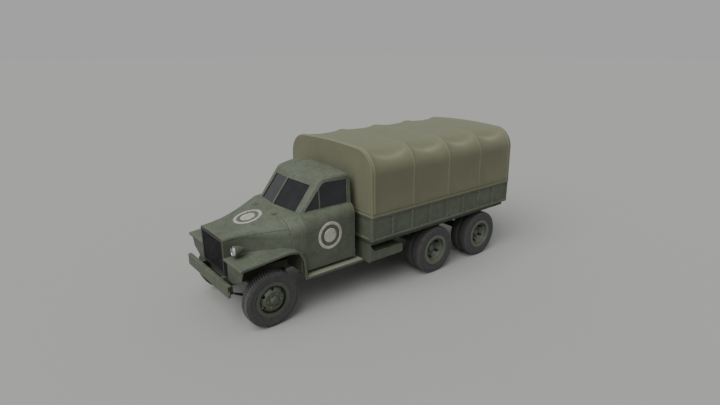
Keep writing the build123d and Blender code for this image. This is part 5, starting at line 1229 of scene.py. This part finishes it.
def heads(places, facing, radius, rise, material):
    """Copies of one domed head at the given places."""
    spots = line_mesh([[place] for place in places])
    return copied(FASTENERS, dome_mesh(radius, rise), material, {"Facing": facing}, spots)


FASTENERS = copying_tree("heads_on_points", {"Facing": "Vector"}, facing_one_way)
side_low, side_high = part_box("cargo_sides")
rib_pitch = (side_high.x - side_low.x - 2 * RIB_HALF) / (RIBS - 1)
rib_xs = [side_low.x + RIB_HALF + k * rib_pitch for k in range(RIBS)]
rivets = []
for side in (-1, 1):
    y = side * (side_high.y - RIVET_SUNK)
    spots = [(x + dx, y, z) for x in rib_xs for dx in RIVET_OFFSETS for z in RIVET_HEIGHTS]
    rivets.append(heads(spots, (0, side, 0), RIVET_R, RIVET_RISE, finishes["body_paint"]))
new_piece("body_rivets", joined(rivets), "chassis", "body_paint", finishes["body_paint"])
bolt_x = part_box("front_bumper")[1].x - BOLT_SUNK
bolt_spots = [(bolt_x, y, z) for y in BOLT_YS for z in BOLT_HEIGHTS]
bolts = heads(bolt_spots, (1, 0, 0), BOLT_R, BOLT_RISE, zinc)
new_piece("bumper_bolts", bolts, "chassis", "chassis_paint")
print("rivets:", 2 * len(spots), "bumper bolts:", len(bolt_spots))

# %% Lamp rims
RIM_R, RIM_GAP, RIM_FORWARD = 0.0065, 0.004, 0.006
RIM_SIDES, RIM_STEPS = 8, 48
ALONG_X = Matrix(((0, 0, 1, 0), (1, 0, 0, 0), (0, 1, 0, 0), (0, 0, 0, 1)))
lens_low, lens_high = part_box("headlamp_lenses")
lens_r = (lens_high.z - lens_low.z) / 2
lens_y = lens_high.y - lens_r
rim_profile = [(lens_r + RIM_GAP + a, b) for a, b in circle(RIM_R, RIM_SIDES)]
rims = []
for side in (1, -1):
    rims.append(turned(rim_profile, RIM_STEPS))
    middle = (lens_low.x + RIM_FORWARD, side * lens_y, lens_low.z + lens_r)
    rims[-1].transform(Matrix.Translation(middle) @ ALONG_X)
new_piece("headlamp_rims", joined(rims), "chassis", "lamp_glass", chrome)
print("lamp rims at y", round(lens_y, 3))

# %% [markdown]
# ## Light and floor
# An overcast sky lights a vehicle mostly from above and evenly along its length. A very wide sun
# does the same: it has one strength everywhere, and its width keeps the shadows soft. A weak sky
# of the floor's own tone fills the sides. The floor is a plain pale sheet that counts as stage and
# not as part of the truck.

# %% Floor, sun and world
FLOOR_HALF = 150.0
SUN_FROM = Vector((0.80, 0.22, 0.95))
SUN_STRENGTH, SUN_WIDTH_DEGREES = 2.5, 55
SKY_STRENGTH = 0.86

floor_rows = [[(x * FLOOR_HALF, y * FLOOR_HALF, 0.0) for x in (-1, 1)] for y in (-1, 1)]
floor = add_object("floor", grid_mesh(floor_rows))
floor_finish, _, floor_shader, _ = new_material("pale_studio_floor", 0.9)
floor_shader.inputs["Base Color"].default_value = linear("#ADADAB")
floor_shader.inputs["Specular IOR Level"].default_value = 0.2
floor.data.materials.append(floor_finish)

sun_data = bpy.data.lights.new("soft_sun", "SUN")
sun_data.energy = SUN_STRENGTH
sun_data.angle = math.radians(SUN_WIDTH_DEGREES)
sun = add_object("soft_sun", sun_data)
sun.rotation_euler = (-SUN_FROM).to_track_quat("-Z", "Y").to_euler()

world = bpy.data.worlds.new("studio")
world.use_nodes = True
world.node_tree.nodes.clear()
sky_light = {"Color": "#BABABA", "Strength": SKY_STRENGTH}
sky = add_node(world.node_tree, "ShaderNodeBackground", sky_light)
add_node(world.node_tree, "ShaderNodeOutputWorld", {"Surface": sky.outputs[0]})
bpy.context.scene.world = world
print("one soft sun and a dim sky")
